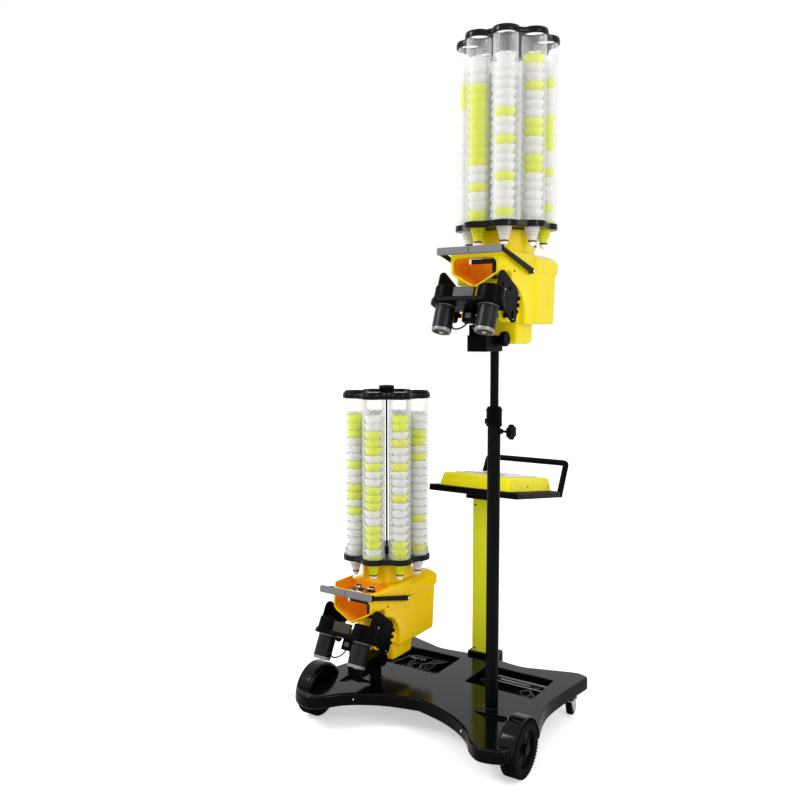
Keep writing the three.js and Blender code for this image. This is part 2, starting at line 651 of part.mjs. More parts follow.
// The housing: nose, rear box, neck under the magazine and keel, hollow where the chute lies
function housing(name) {
  const s = shell;
  const [o, c] = [s.openHalf, s.openCorner];
  const window = lengthways(polygon([
    [-s.openFoot, s.openLow], [s.openFoot, s.openLow], [o, s.openSide], [o, s.openTop - c],
    [o - c, s.openTop], [-o + c, s.openTop], [-o, s.openTop - c], [-o, s.openSide],
  ]), s.front - overrun, s.front + s.wall + overrun);
  const cavity = lengthways(veeShape(s.wall, s.top - s.wall), s.front + s.wall, s.cavityRear);
  const mouth = box(vec(-s.mouthHalf, s.mouthFront, s.top - s.wall - overrun),
    vec(s.mouthHalf, s.cavityRear, s.top + overrun));
  const spindleHole = bore(vec(0, magazine.y, neckTop - magazine.spindleLong - seatGap),
    vec(0, magazine.y, neckTop + overrun), magazine.spindle, knobSides);
  const shaftHole = bore(vec(-s.half, pivot.y, pivot.z), vec(s.half, pivot.y, pivot.z),
    pivot.shaft, smallSides);
  const body = cut(join(noseBody(), rearBody(), keelBody(), neckBody(), both(shaftLug())),
    shaftHole, cavity, mouth, window, spindleHole);
  return piece(name, body, finish.yellow);
}

// A bent bar before the nose: a padded front run and two arms bolted to the housing's sides
function bumperBar(name) {
  const b = bar;
  const half = shell.half + b.aside;
  const front = shell.front - b.ahead;
  const halfHigh = b.armHigh / 2;
  const arm = sideways(polygon([
    [b.rear - b.boss, b.rearHeight - halfHigh], [b.rear + b.boss, b.rearHeight - halfHigh],
    [b.rear + b.boss, b.rearHeight + halfHigh], [front, b.frontHeight + halfHigh],
    [front, b.frontHeight - halfHigh],
  ]), half - b.armThick, half);
  const bolt = roundBar(vec(shell.half + seatGap, b.rear, b.rearHeight),
    vec(half + b.armThick / 2, b.rear, b.rearHeight), b.boss, smallSides);
  const end = half + b.sleeveStand;
  const sleeve = box(vec(-end, front - b.sleeveThick / 2, b.frontHeight - b.sleeveHigh / 2),
    vec(end, front + b.sleeveThick / 2, b.frontHeight + b.sleeveHigh / 2));
  return piece(name, join(both(join(arm, bolt)), sleeve), finish.greyBar);
}

// The orange chute lines the nose: a trough with a vee floor, open above and in front
function chuteTrough(name) {
  const s = shell;
  const [outerInset, half] = [s.wall + chute.gap, s.mouthHalf - chute.gap];
  const front = s.mouthFront + chute.gap;
  const rear = s.cavityRear - chute.gap;
  const top = magazine.bottom - shuttle.protrude - chute.below;
  const outer = lengthways(veeShape(outerInset, top, half), front, rear);
  const inner = lengthways(veeShape(outerInset + chute.wall, top + overrun, half - chute.wall),
    front - overrun, rear - chute.wall);
  const rearCut = box(vec(-s.half, rear - chute.wall - overrun, s.top),
    vec(s.half, rear + overrun, top + overrun));
  return piece(name, cut(outer, inner, rearCut), finish.orange);
}

// The gripper stands on the chute's right wall and holds the next shuttlecock between two jaws
function gripperArm(name) {
  const g = gripper;
  const wallIn = shell.mouthHalf - chute.gap - chute.wall - seatGap;
  const railTop = g.railLow + g.railHigh;
  const jawLow = g.railLow + g.railHigh / 2;
  const post = box(vec(wallIn - g.postWide, g.postY - g.postDeep / 2, g.postLow),
    vec(wallIn, g.postY + g.postDeep / 2, railTop));
  const rail = box(vec(-g.span / 2, g.postY - g.railDeep / 2, g.railLow),
    vec(wallIn, g.postY + g.railDeep / 2, railTop));
  const jaw = box(vec(g.jawGap / 2, g.postY, jawLow),
    vec(g.jawGap / 2 + g.jawWide, g.postY + g.jawLong, jawLow + g.jawHigh));
  return piece(name, join(post, rail, both(jaw)), finish.silver);
}

const motorAxis = (z) => vec(launcher.axisX, -launcher.reach, z);

// A cap covers its throwing wheel and is open inwards, where the shuttlecock passes
function wheelCap() {
  const l = launcher;
  const shoulder = capHigh - l.capRound;
  const cap = join(
    roundBar(motorAxis(l.plateHigh - l.capWall), motorAxis(shoulder), capRadius),
    roundBar(motorAxis(shoulder), motorAxis(capHigh), capRadius, roundSides, capRadius - l.capRound),
  );
  const window = box(vec(l.axisX - capRadius, -l.reach - capRadius, l.plateHigh + l.capWall),
    vec(l.axisX - l.window, -l.reach + capRadius, capHigh - l.capWall));
  const hollow = roundBar(motorAxis(l.plateHigh), motorAxis(capHigh - l.capWall), capRadius - l.capWall);
  const shaftHole = bore(motorAxis(l.plateLow - overrun), motorAxis(l.plateHigh + overrun),
    throwWheel.hub, smallSides);
  return { cap, holes: join(window, hollow, shaftHole) };
}

// An arm is a tall plate beside the housing, from the cap back round the shaft
function carriageArm() {
  const l = launcher;
  const armOut = armIn + l.armThick;
  const nose = -l.reach - l.armNose;
  const side = new THREE.Shape();
  side.moveTo(nose, l.plateLow);
  side.lineTo(nose, l.armNoseHigh);
  side.lineTo(nose + l.armSlope, l.armFrontTop);
  side.absarc(l.armRear - l.armRound, l.armTop - l.armRound, l.armRound, Math.PI / 2, 0, true);
  side.absarc(l.armRear - l.armFoot, l.armLow + l.armFoot, l.armFoot, 0, -Math.PI / 2, true);
  side.lineTo(-l.reach + capRadius + l.plateRim, l.plateLow);
  return join(sideways(side, armIn, armOut, arcSteps * 2),
    roundBar(vec(armIn, 0, 0), vec(armOut + l.capWall, 0, 0), l.hubCap, knobSides));
}

// The carriage in its own frame: X across, Y backwards from the pivot, Z along the motors
function launcherFrame(name) {
  const l = launcher;
  const plateRadius = capRadius + l.plateRim;
  const outline = new THREE.Shape();
  outline.moveTo(l.axisX, -l.reach - plateRadius);
  outline.absarc(l.axisX, -l.reach, plateRadius, -Math.PI / 2, Math.PI / 2);
  outline.lineTo(-l.axisX, -l.reach + plateRadius);
  outline.absarc(-l.axisX, -l.reach, plateRadius, Math.PI / 2, Math.PI * 3 / 2);
  const plate = raised(outline, l.plateLow, l.plateHigh, arcSteps + 1);
  const bridge = box(vec(-l.bridgeHalf, -l.bridgeFront, l.plateHigh - l.capWall),
    vec(l.bridgeHalf, -l.bridgeRear, l.bridgeHigh));
  const foot = box(vec(-l.footHalf, -l.footFront, l.footLow),
    vec(l.footHalf, -l.footRear, l.plateHigh - l.capWall));
  const shaftEnd = armIn + l.armThick / 2;
  const shaft = roundBar(vec(-shaftEnd, 0, 0), vec(shaftEnd, 0, 0), pivot.shaft, smallSides);
  const { cap, holes } = wheelCap();
  const body = cut(join(plate, both(join(cap, carriageArm())), bridge, foot, shaft), both(holes));
  return piece(name, body, finish.blackPlastic);
}

// A motor hangs below the plate with its shaft up through it
function launcherMotor(name, side) {
  const m = motor;
  const top = launcher.plateLow - seatGap;
  const capTop = top - m.length + m.capLong;
  const body = join(
    roundBar(vec(0, 0, capTop), vec(0, 0, top), m.radius),
    roundBar(vec(0, 0, top - m.length), vec(0, 0, capTop + m.capInset), m.radius - m.capInset),
    roundBar(vec(0, 0, capTop), vec(0, 0, top + m.shaftUp), m.shaft, smallSides),
  );
  const mesh = piece(name, body, finish.motorBlack);
  mesh.position.set(side * launcher.axisX, -launcher.reach, 0);
  return mesh;
}

function throwingWheel(name, side) {
  const t = throwWheel;
  const [hubLow, high] = [t.low - t.hubHigh, t.low + t.thick];
  const body = cut(
    turned([[0, hubLow], [t.hub, hubLow], [t.hub, t.low], [t.radius, t.low],
      [t.radius - t.groove, t.low + t.thick / 2], [t.radius, high], [0, high]], knobSides),
    bore(vec(0, 0, hubLow - overrun), vec(0, 0, launcher.plateLow + motor.shaftUp),
      motor.shaft, smallSides),
  );
  const mesh = piece(name, body, finish.foam);
  mesh.position.set(side * launcher.axisX, -launcher.reach, 0);
  return mesh;
}

// A magazine plate: one round lobe at every tube
function scalloped(low, high) {
  const m = magazine;
  const shape = new THREE.Shape();
  const spread = radians(m.lobeSpreadDeg);
  for (let i = 0; i < m.tubes; i += 1) {
    const out = i * Math.PI * 2 / m.tubes;
    shape.absarc(m.ringRadius * Math.cos(out), m.ringRadius * Math.sin(out), m.tubeRadius + m.rim,
      out - spread, out + spread);
  }
  return raised(shape, low, high);
}

// A round tool at every tube, with the tubes' own facets
function atTubes(radius, low, high) {
  const tool = turned([[0, low], [radius, low], [radius, high], [0, high]], tubeSides);
  const tools = [];
  for (let i = 0; i < magazine.tubes; i += 1) {
    tools.push(tool.translate([magazine.ringRadius, 0, 0]).rotate([0, 0, i * 360 / magazine.tubes]));
  }
  return join(...tools);
}

// The bottom plate holds the tubes in sockets; its rod carries the top plate
function magazineBase(name) {
  const m = magazine;
  const rodTop = lidLow + m.lidThick / 2 - seatGap;
  const rod = roundBar(vec(0, 0, m.plate / 2), vec(0, 0, rodTop), m.rod, smallSides);
  const spindle = roundBar(vec(0, 0, -m.spindleLong), vec(0, 0, m.plate / 2), m.spindle, knobSides);
  const sockets = atTubes(m.tubeRadius + seatGap, m.plate - m.socketDeep, m.plate + overrun);
  const holes = atTubes(m.tubeRadius - m.ledge, -overrun, m.plate);
  return piece(name, join(cut(scalloped(0, m.plate), sockets, holes), rod, spindle), finish.blackPlastic);
}

// The top plate is open over every tube and has the lifting knob in its middle
function magazineTop(name) {
  const m = magazine;
  const plateTop = lidLow + m.lidThick;
  const knobTop = plateTop + m.knobHigh;
  const grip = join(
    roundBar(vec(0, 0, plateTop - m.lidThick / 2), vec(0, 0, knobTop - m.knobEdge), m.knobRadius),
    roundBar(vec(0, 0, knobTop - m.knobEdge), vec(0, 0, knobTop), m.knobRadius, roundSides,
      m.knobRadius - m.knobEdge),
  );
  const openings = atTubes(m.tubeRadius + seatGap, lidLow - overrun, plateTop + overrun);
  const rodHole = roundBar(vec(0, 0, lidLow - overrun), vec(0, 0, lidLow + m.lidThick / 2),
    m.rod + seatGap, smallSides);
  return piece(name, cut(join(scalloped(lidLow, plateTop), grip), openings, rodHole), finish.blackPlastic);
}

// The lowest shuttlecock's radius at a height over the bottom plate's underside
function shuttleRadius(z) {
  const s = shuttle;
  const slope = (s.skirtRim - s.cork) / (s.length - s.corkSide);
  return s.cork + slope * (z + s.protrude - s.corkSide);
}

// One clear tube with its stack of shuttlecocks, the lowest reaching out below
function loadedTube(name) {
  const m = magazine;
  const s = shuttle;
  const floor = m.plate - m.socketDeep + seatGap;
  const inside = m.tubeRadius - m.tubeWall;
  const rimHeight = s.length - s.protrude;
  const stackTop = rimHeight + s.pitch * (s.stacked - 1);
  const corkTop = stackTop - s.length + s.corkSide;
  return piece(name, turned([
    [0, -s.protrude], [s.cork, -s.protrude + s.corkRound], [s.cork, -s.protrude + s.corkSide],
    [shuttleRadius(floor), floor], [m.tubeRadius, floor], [m.tubeRadius, m.tubeTop], [inside, m.tubeTop],
    [inside, rimHeight - s.corkRound], [s.skirtRim, rimHeight], [s.skirtRim, stackTop],
    [s.hollow, corkTop], [0, corkTop],
  ], tubeSides), finish.loadedTube);
}

// The tilting carriage with both motors and throwing wheels
function carriage(prefix, tilt) {
  const group = new THREE.Group();
  group.add(launcherFrame(`${prefix}_launcher_frame`));
  for (const [word, side] of [['left', -1], ['right', 1]]) {
    group.add(launcherMotor(`${prefix}_${word}_motor`, side));
    group.add(throwingWheel(`${prefix}_${word}_throw_wheel`, side));
  }
  group.position.set(0, pivot.y, pivot.z);
  group.rotation.x = -radians(tilt);
  return group;
}

// The rotary magazine with its plates and loaded tubes
function drum(prefix, turn) {
  const group = new THREE.Group();
  group.add(magazineBase(`${prefix}_magazine_base`), magazineTop(`${prefix}_magazine_top`));
  for (let i = 0; i < magazine.tubes; i += 1) {
    const spoke = new THREE.Group();
    const tube = loadedTube(`${prefix}_tube_${i + 1}`);
    tube.position.x = magazine.ringRadius;
    spoke.rotation.z = i * Math.PI * 2 / magazine.tubes;
    spoke.add(tube);
    group.add(spoke);
  }
  group.position.set(0, magazine.y, magazine.bottom);
  group.rotation.z = radians(turn);
  return group;
}

// One head with its launcher and its magazine, about its pole
function shootingHead(side, prefix, rise) {
  const head = new THREE.Group();
  head.add(
    mountBlock(`${prefix}_mount_block`), mountKnob(`${prefix}_mount_knob`), housing(`${prefix}_housing`),
    bumperBar(`${prefix}_bumper_bar`), chuteTrough(`${prefix}_chute`), gripperArm(`${prefix}_gripper`),
    carriage(prefix, tiltDeg[prefix]), drum(prefix, turnDeg[prefix]),
  );
  head.position.set(side * poleX, poleY, rise);
  return head;
}

// The column is an extruded cover with an upright seam near its right edge
function columnPost() {
  const c = column;
  const front = c.y - c.depth / 2;
  const outline = rounded(-c.width / 2, c.width / 2, front, front + c.depth, c.corner);
  const seam = box(vec(c.seamX - c.seamWidth / 2, front - overrun, -overrun),
    vec(c.seamX + c.seamWidth / 2, front + c.seamDepth, columnTop));
  return piece('column', cut(raised(outline, seatGap, columnTop - seatGap), seam), finish.lemon);
}

// A shallow tray with a foot that ends level on the column, below the slope
function consoleFrame() {
  const f = frameTray;
  const low = -f.high / 2;
  const toColumn = column.y - desk.y;
  const half = column.width / 2 + f.footRim;
  const hollow = raised(rounded(-f.half + f.rim, f.half - f.rim, f.rim, f.depth - f.rim, f.corner),
    low + f.floor, f.high);
  const base = cut(raised(rounded(-f.half, f.half, 0, f.depth, f.corner), low, f.high / 2), hollow);
  const foot = box(vec(-half, toColumn - column.depth, -desk.drop - column.depth),
    vec(half, toColumn + column.depth / 2 + f.footPad, low + f.floor));
  const below = box(vec(-f.half, toColumn - f.depth, -desk.drop - f.depth),
    vec(f.half, toColumn + f.depth, -desk.drop)).rotate([desk.slopeDeg, 0, 0]);
  return piece('console_frame', join(base, cut(foot, below)), finish.steelBlack);
}

// The handle's tube rises and leans back from the tray's rear corners
function pushHandle() {
  const f = frameTray;
  const h = handle;
  const x = f.half - h.tube;
  const start = f.depth + seatGap + h.tube;
  const foot = (side) => vec(side * x, start, 0);
  const corner = (side) => vec(side * x, start + h.reach, h.rise);
  const below = (side) => foot(side).lerp(corner(side), 1 - h.bend / h.rise);
  const beside = (side) => vec(side * (x - h.bend), start + h.reach, h.rise);
  const left = new THREE.QuadraticBezierCurve3(below(-1), corner(-1), beside(-1));
  const right = new THREE.QuadraticBezierCurve3(beside(1), corner(1), below(1));
  const stations = [foot(-1), ...left.getPoints(arcSteps * 2), ...right.getPoints(arcSteps * 2), foot(1)];
  const plane = vec(0, h.rise, -h.reach).normalize();
  const rings = stations.map((p, i) => {
    const before = stations[Math.max(i - 1, 0)];
    const after = stations[Math.min(i + 1, stations.length - 1)];
    const out = plane.clone().cross(after.clone().sub(before)).normalize();
    return Array.from({ length: smallSides }, (unused, k) => {
      const angle = k * Math.PI * 2 / smallSides;
      const across = p.clone().addScaledVector(out, h.tube * Math.cos(angle));
      return across.addScaledVector(plane, h.tube * Math.sin(angle));
    });
  });
  const ferrule = box(vec(x - h.tube, f.depth + seatGap, -f.high / 2),
    vec(x + h.tube, start + h.tube, f.high / 2));
  return piece('push_handle', join(skinned(rings), both(ferrule)), finish.blackPlastic);
}

// A cover over the tray that draws in towards its rounded top
function consoleCover() {
  const c = cover;
  const low = frameTray.high / 2 + seatGap;
  const ring = (inset, up) => ({
    half: c.half - inset, front: c.front + inset, rear: c.rear - inset, radius: c.corner, z: low + up,
  });
  const body = lofted([ring(0, 0), ring(c.inset, c.high - c.crown),
    ring(c.inset + c.crown / 3, c.high - c.crown / 3), ring(c.inset + c.crown, c.high)]);
  return piece('console_cover', body, finish.yellow);
}

// The touch panel lies on the cover with its screen sunk a little
function touchPanel() {
  const p = panel;
  const low = frameTray.high / 2 + cover.high + seatGap * 2;
  const screenRear = p.rear - p.corner * 2;
  const body = cut(
    raised(rounded(-p.half, p.half, p.front, p.rear, p.corner), low, low + p.high),
    raised(rounded(-p.screenHalf, p.screenHalf, p.screenFront, screenRear, p.corner / 2),
      low + p.high - p.screenDeep, low + p.high + overrun),
  );
  return piece('touch_panel', body, finish.panelGrey);
}

function consoleGroup() {
  const group = new THREE.Group();
  group.add(consoleFrame(), pushHandle(), consoleCover(), touchPanel());
  group.position.set(0, desk.y, desk.height);
  group.rotation.x = -radians(desk.slopeDeg);
  return group;
}

function onPole(side, ...pieces) {
  const group = new THREE.Group();
  group.add(...pieces);
  group.position.set(side * poleX, poleY, 0);
  return group;
}

const machine = new THREE.Group();
machine.add(
  platform(), frontWheel('left_wheel', -1), frontWheel('right_wheel', 1),
  casterPair('left_caster', -1), casterPair('right_caster', 1),
  onPole(1, mastTube(), mastCollar(), mastKnob(), mastInner()), onPole(-1, shortPost()),
  columnPost(), consoleGroup(),
  shootingHead(-1, 'lower', 0), shootingHead(1, 'upper', headRise),
);

// Set down with the floor at z = 0 below the middle of the box
const whole = new THREE.Group();
whole.add(machine);
whole.updateMatrixWorld(true);
const extent = new THREE.Box3().setFromObject(whole, true);
const middle = extent.getCenter(vec(0, 0, 0));
machine.position.set(-middle.x, -middle.y, -extent.min.z);

export default whole;
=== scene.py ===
import math
import random
import bmesh
import bpy
from mathutils import Matrix, Vector


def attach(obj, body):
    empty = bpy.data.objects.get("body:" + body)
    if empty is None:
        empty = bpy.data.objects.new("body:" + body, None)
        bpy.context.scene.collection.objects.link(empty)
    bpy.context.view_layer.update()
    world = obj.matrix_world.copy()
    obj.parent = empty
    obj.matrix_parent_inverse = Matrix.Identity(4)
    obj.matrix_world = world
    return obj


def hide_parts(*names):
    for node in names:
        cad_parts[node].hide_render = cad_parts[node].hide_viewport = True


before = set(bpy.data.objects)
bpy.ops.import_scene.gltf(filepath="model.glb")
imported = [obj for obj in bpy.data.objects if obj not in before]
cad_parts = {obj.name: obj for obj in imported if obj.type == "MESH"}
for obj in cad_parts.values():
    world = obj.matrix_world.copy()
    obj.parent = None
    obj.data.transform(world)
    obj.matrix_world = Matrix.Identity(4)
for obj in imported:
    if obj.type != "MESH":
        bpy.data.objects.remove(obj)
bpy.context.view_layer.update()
print("frame loaded")

# Sizes are millimetres in each piece's own place, the same as in the part
machine = {"forward": -193.486, "deckHeight": 130, "poleX": 237, "poleY": -59}
sides = {"left": -1, "right": 1}
heads = {
    "lower": {"side": -1, "rise": 0, "tilt": 27, "turn": 11.5},
    "upper": {"side": 1, "rise": 1148, "tilt": 20, "turn": 23.5},
}


def at(x, y, z):
    return Matrix.Translation((x, y, z))


def turn(degrees, axis):
    return Matrix.Rotation(math.radians(degrees), 4, axis)


deckPlace = at(0, machine["forward"], machine["deckHeight"])
mastPlace = deckPlace @ at(machine["poleX"], machine["poleY"], 0)
postPlace = deckPlace @ at(-machine["poleX"], machine["poleY"], 0)
alongX = turn(90, "Y")  # lays an upright axis along X
sideways = Matrix(((0, 0, 1, 0), (1, 0, 0, 0), (0, 1, 0, 0), (0, 0, 0, 1)))  # an outline's X and Y to Y and Z
axlePlace = at(0, -191, -40)  # the front wheels' axis, in the deck's place
pivotPlace = at(0, -79, 155)  # the launcher's tilting axis, in a head's place
millimetres = Matrix.Scale(0.001, 4)


def headPlace(name):
    head = heads[name]
    return deckPlace @ at(head["side"] * machine["poleX"], machine["poleY"], head["rise"])


# Finishes

def linear(hexColour):
    parts = [int(hexColour[i:i + 2], 16) / 255 for i in (0, 2, 4)]
    return [p / 12.92 if p <= 0.04045 else ((p + 0.055) / 1.055) ** 2.4 for p in parts]


def shaderNode(tree, kind, **values):  # a new node; an underscore stands for the space in an input's name
    made = tree.nodes.new("ShaderNode" + kind)
    for word, value in values.items():
        made.inputs[word.replace("_", " ")].default_value = value
    return made


def finish(name, colour, rough, metal=0.0, tint=0.12, spread=0.08, grain=600, bump=0.1, specular=0.5,
           streak=1.0):
    made = bpy.data.materials.new(name)
    made.use_nodes = True
    tree, links = made.node_tree, made.node_tree.links
    shader = tree.nodes["Principled BSDF"]
    where = shaderNode(tree, "TexCoord")
    lay = shaderNode(tree, "Mapping", Scale=(1, 1, streak))
    cloud = shaderNode(tree, "TexNoise", Scale=8, Detail=6)
    shades = shaderNode(tree, "ValToRGB")
    base = linear(colour)
    for stop, place, level in ((0, 0.3, 1 - tint), (1, 0.7, 1 + tint)):
        shades.color_ramp.elements[stop].position = place
        shades.color_ramp.elements[stop].color = [min(1, c * level) for c in base] + [1]
    fine = shaderNode(tree, "TexNoise", Scale=grain, Detail=3)
    gloss = shaderNode(tree, "MapRange", To_Min=max(0.02, rough - spread), To_Max=min(1, rough + spread))
    relief = shaderNode(tree, "Bump", Strength=bump, Distance=0.0004)
    for source, word, target, socket in (
            (where, "Object", lay, "Vector"), (lay, "Vector", cloud, "Vector"), (cloud, "Fac", shades, "Fac"),
            (shades, "Color", shader, "Base Color"), (lay, "Vector", fine, "Vector"),
            (cloud, "Fac", gloss, "Value"), (gloss, "Result", shader, "Roughness"),
            (fine, "Fac", relief, "Height"), (relief, "Normal", shader, "Normal")):
        links.new(source.outputs[word], target.inputs[socket])
    shader.inputs["Metallic"].default_value = metal
    shader.inputs["Specular IOR Level"].default_value = specular
    return made


def clearWall(name, colour, faceOn, edgeOn):  # thin clear plastic, denser where it is seen edge on
    made = finish(name, colour, 0.06, tint=0.02, bump=0.02, spread=0.03)
    tree, links = made.node_tree, made.node_tree.links
    edge = shaderNode(tree, "LayerWeight", Blend=0.35)
    density = shaderNode(tree, "MapRange", To_Min=faceOn, To_Max=edgeOn)
    links.new(edge.outputs["Facing"], density.inputs["Value"])
    links.new(density.outputs["Result"], tree.nodes["Principled BSDF"].inputs["Alpha"])
    return made


def netting(name, colour):  # a moulded net skirt, which shows what is behind it
    made = clearWall(name, colour, 0.52, 0.97)
    made.node_tree.nodes["Principled BSDF"].inputs["Specular IOR Level"].default_value = 0.1
    return made


deckGloss = finish("deckGloss", "060607", 0.13, tint=0.25, bump=0.03, grain=300, specular=0.15)
# painted shade: the deck's own black with little reflection, put on the upright faces low on the shell so
# they render darker than the glossy top
skirtShadeBlack = finish("skirtShadeBlack", "060507", 0.2, tint=0.25, bump=0.03, grain=300, specular=0.04)
rubber = finish("rubber", "0b0a0a", 0.8, tint=0.25, bump=0.4, grain=900, specular=0.05)
looseWire = finish("looseWire", "1c1c1e", 0.25, tint=0.3, bump=0.1, specular=0.4)
zincSteel = finish("zincSteel", "b4b6b8", 0.3, metal=0.95, tint=0.1, bump=0.1)
powderBlack = finish("powderBlack", "080707", 0.36, tint=0.2, bump=0.2, grain=1200, specular=0.05)
blackPlastic = finish("blackPlastic", "040304", 0.34, tint=0.2, bump=0.15, grain=900, specular=0.035)
glossBlack = finish("glossBlack", "050505", 0.12, tint=0.2, bump=0.03, specular=0.16)
motorBlack = finish("motorBlack", "060506", 0.36, tint=0.2, bump=0.1, specular=0.22)
motorRing = finish("motorRing", "8a8682", 0.35, metal=0.5, tint=0.2, bump=0.15, specular=0.2)
oliveBlack = finish("oliveBlack", "2e2c22", 0.35, tint=0.15, specular=0.2)
foamGrey = finish("foamGrey", "161616", 0.9, tint=0.2, bump=0.6, grain=1500, specular=0.1)
shellYellow = {
    "lower": finish("lowerShellYellow", "f5c80a", 0.22, tint=0.05, bump=0.05, grain=260, specular=0.12),
    "upper": finish("upperShellYellow", "ead40c", 0.22, tint=0.05, bump=0.05, grain=260, specular=0.12),
}
lemonPaint = finish("lemonPaint", "dfe52a", 0.4, tint=0.05, bump=0.1, grain=500, streak=0.2, specular=0.12)
coverYellow = finish("coverYellow", "eadd14", 0.3, tint=0.05, bump=0.05, specular=0.15)
orangePlastic = finish("orangePlastic", "fd9b12", 0.3, tint=0.08, bump=0.08, specular=0.12)
sleeveGrey = finish("sleeveGrey", "717175", 0.62, tint=0.08, bump=0.3, grain=1300, specular=0.2)
clipSteel = finish("clipSteel", "d8d6d2", 0.16, metal=0.9, tint=0.12)
darkScrew = finish("darkScrew", "2c2a28", 0.35, metal=0.6)
brightScrew = finish("brightScrew", "d6d6d4", 0.25, metal=0.9)
panelSilver = finish("panelSilver", "e6e8ea", 0.3, metal=0.1, tint=0.05, bump=0.05)
panelDark = finish("panelDark", "55595e", 0.3, tint=0.1)
screenGlass = finish("screenGlass", "8e979c", 0.08, tint=0.04, bump=0.0)
markPale = finish("markPale", "f4e6a8", 0.4, tint=0.05)
skirtWhite = netting("skirtWhite", "f6f5f2")
skirtYellow = netting("skirtYellow", "f2fa22")
corkWhite = finish("corkWhite", "f6f1e8", 0.6, tint=0.06, bump=0.3, grain=900)
bandDark = finish("bandDark", "23261f", 0.5)
clearTube = clearWall("clearTube", "f6f8f9", 0.04, 0.42)


# Solids

def cleaned(bm):
    bmesh.ops.remove_doubles(bm, verts=bm.verts, dist=0.01)
    bmesh.ops.recalc_face_normals(bm, faces=bm.faces)
    return bm


def softened(bm, width, segments=3, angle=28):  # rounds every edge that turns by more than the angle
    sharp = [e for e in bm.edges if e.is_manifold and e.calc_face_angle(0) > math.radians(angle)]
    bmesh.ops.bevel(bm, geom=sharp, offset=width, offset_type="OFFSET", affect="EDGES",
                    segments=segments, profile=0.5, material=-1, clamp_overlap=True)
    return bm


def turned(profile, steps=48, closed=False):  # (radius, height) pairs spun about Z
    bm = bmesh.new()
    verts = [bm.verts.new((radius, 0, height)) for radius, height in profile]
    pairs = list(zip(verts, verts[1:]))
    if closed:
        pairs.append((verts[-1], verts[0]))
    edges = [bm.edges.new(pair) for pair in pairs]
    bmesh.ops.spin(bm, geom=verts + edges, cent=(0, 0, 0), axis=(0, 0, 1),
                   angle=2 * math.pi, steps=steps, use_merge=True)
    return cleaned(bm)


def rod(radius, low, high, steps=48):
    return turned([(0, low), (radius, low), (radius, high), (0, high)], steps)


def repeated(bm, count):  # the shape and its copies all round Z
    bmesh.ops.spin(bm, geom=list(bm.verts) + list(bm.edges) + list(bm.faces), cent=(0, 0, 0), axis=(0, 0, 1),
                   angle=2 * math.pi * (count - 1) / count, steps=count - 1, use_duplicate=True)
    return bm


def roundedDisc(radius, low, high, edge=1.0, steps=48):
    return turned([(0, low), (radius - edge, low)] + corner(radius - edge, low + edge, edge, -90, 0)
                  + corner(radius - edge, high - edge, edge, 0, 90) + [(0, high)], steps)


def corner(x, y, radius, start, end, steps=4):  # points of an arc, in degrees
    angles = [math.radians(start + (end - start) * i / steps) for i in range(steps + 1)]
    return [(x + radius * math.cos(a), y + radius * math.sin(a)) for a in angles]


def roundRect(left, right, front, rear, radius, steps=6):
    return (corner(right - radius, front + radius, radius, -90, 0, steps)
            + corner(right - radius, rear - radius, radius, 0, 90, steps)
            + corner(left + radius, rear - radius, radius, 90, 180, steps)
            + corner(left + radius, front + radius, radius, 180, 270, steps))


def slab(outline, low, high, edge=0.0, segments=3):  # an outline in X and Y with a thickness
    bm = bmesh.new()
    face = bm.faces.new([bm.verts.new((x, y, low)) for x, y in outline])
    grown = bmesh.ops.extrude_face_region(bm, geom=[face])
    lifted = [part for part in grown["geom"] if isinstance(part, bmesh.types.BMVert)]
    bmesh.ops.translate(bm, vec=(0, 0, high - low), verts=lifted)
    cleaned(bm)
    return softened(bm, edge, segments) if edge else bm


def cuboid(low, high, edge=0.0, segments=3):
    bm = bmesh.new()
    bmesh.ops.create_cube(bm, size=1)
    size = Vector(high) - Vector(low)
    bmesh.ops.scale(bm, vec=size, verts=bm.verts)
    bmesh.ops.translate(bm, vec=(Vector(low) + Vector(high)) / 2, verts=bm.verts)
    return softened(bm, edge, segments) if edge else bm


def lofted(rings):  # a closed skin through rings of points
    bm = bmesh.new()
    loops = []
    for points in rings:
        verts = [bm.verts.new(p) for p in points]
        loops.append((verts, [bm.edges.new(pair) for pair in zip(verts, verts[1:] + verts[:1])]))
    for (unused, below), (unused, above) in zip(loops, loops[1:]):
        bmesh.ops.bridge_loops(bm, edges=below + above)
    bm.faces.new(loops[0][0])
    bm.faces.new(loops[-1][0])
    return cleaned(bm)


def rectLoft(levels, steps=6):  # (half width, front, rear, corner radius, z)
    return lofted([[(x, y, z) for x, y in roundRect(-half, half, front, rear, radius, steps)]
                   for half, front, rear, radius, z in levels])


def wire(points, radius, resolution=4):  # a smooth round bar along points
    curve = bpy.data.curves.new("wire", "CURVE")
    curve.dimensions = "3D"
    curve.bevel_depth = radius
    curve.bevel_resolution = resolution
    curve.resolution_u = 8
    curve.use_fill_caps = True
    line = curve.splines.new("NURBS")
    line.points.add(len(points) - 1)
    for point, place in zip(line.points, points):
        point.co = (*place, 1)
    line.order_u = 4
    line.use_endpoint_u = True
    holder = linked("wire", curve)
    bm = readBack(holder)
    bpy.data.objects.remove(holder)
    return cleaned(bm)


def linked(name, data):
    holder = bpy.data.objects.new(name, data)
    bpy.context.scene.collection.objects.link(holder)
    return holder


def readBack(holder):  # an object as it looks with its modifiers
    shown = holder.evaluated_get(bpy.context.evaluated_depsgraph_get())
    mesh = bpy.data.meshes.new_from_object(shown)
    bm = bmesh.new()
    bm.from_mesh(mesh)
    bpy.data.meshes.remove(mesh)
    return bm


def placed(bm, matrix):
    bm.transform(matrix)
    return bm


def painted(bm, index):
    for face in bm.faces:
        face.material_index = index
    return bm


def flipped(bm):  # the same shape on the machine's other side
    bmesh.ops.scale(bm, vec=(-1, 1, 1), verts=bm.verts)
    bmesh.ops.reverse_faces(bm, faces=bm.faces)
    return bm


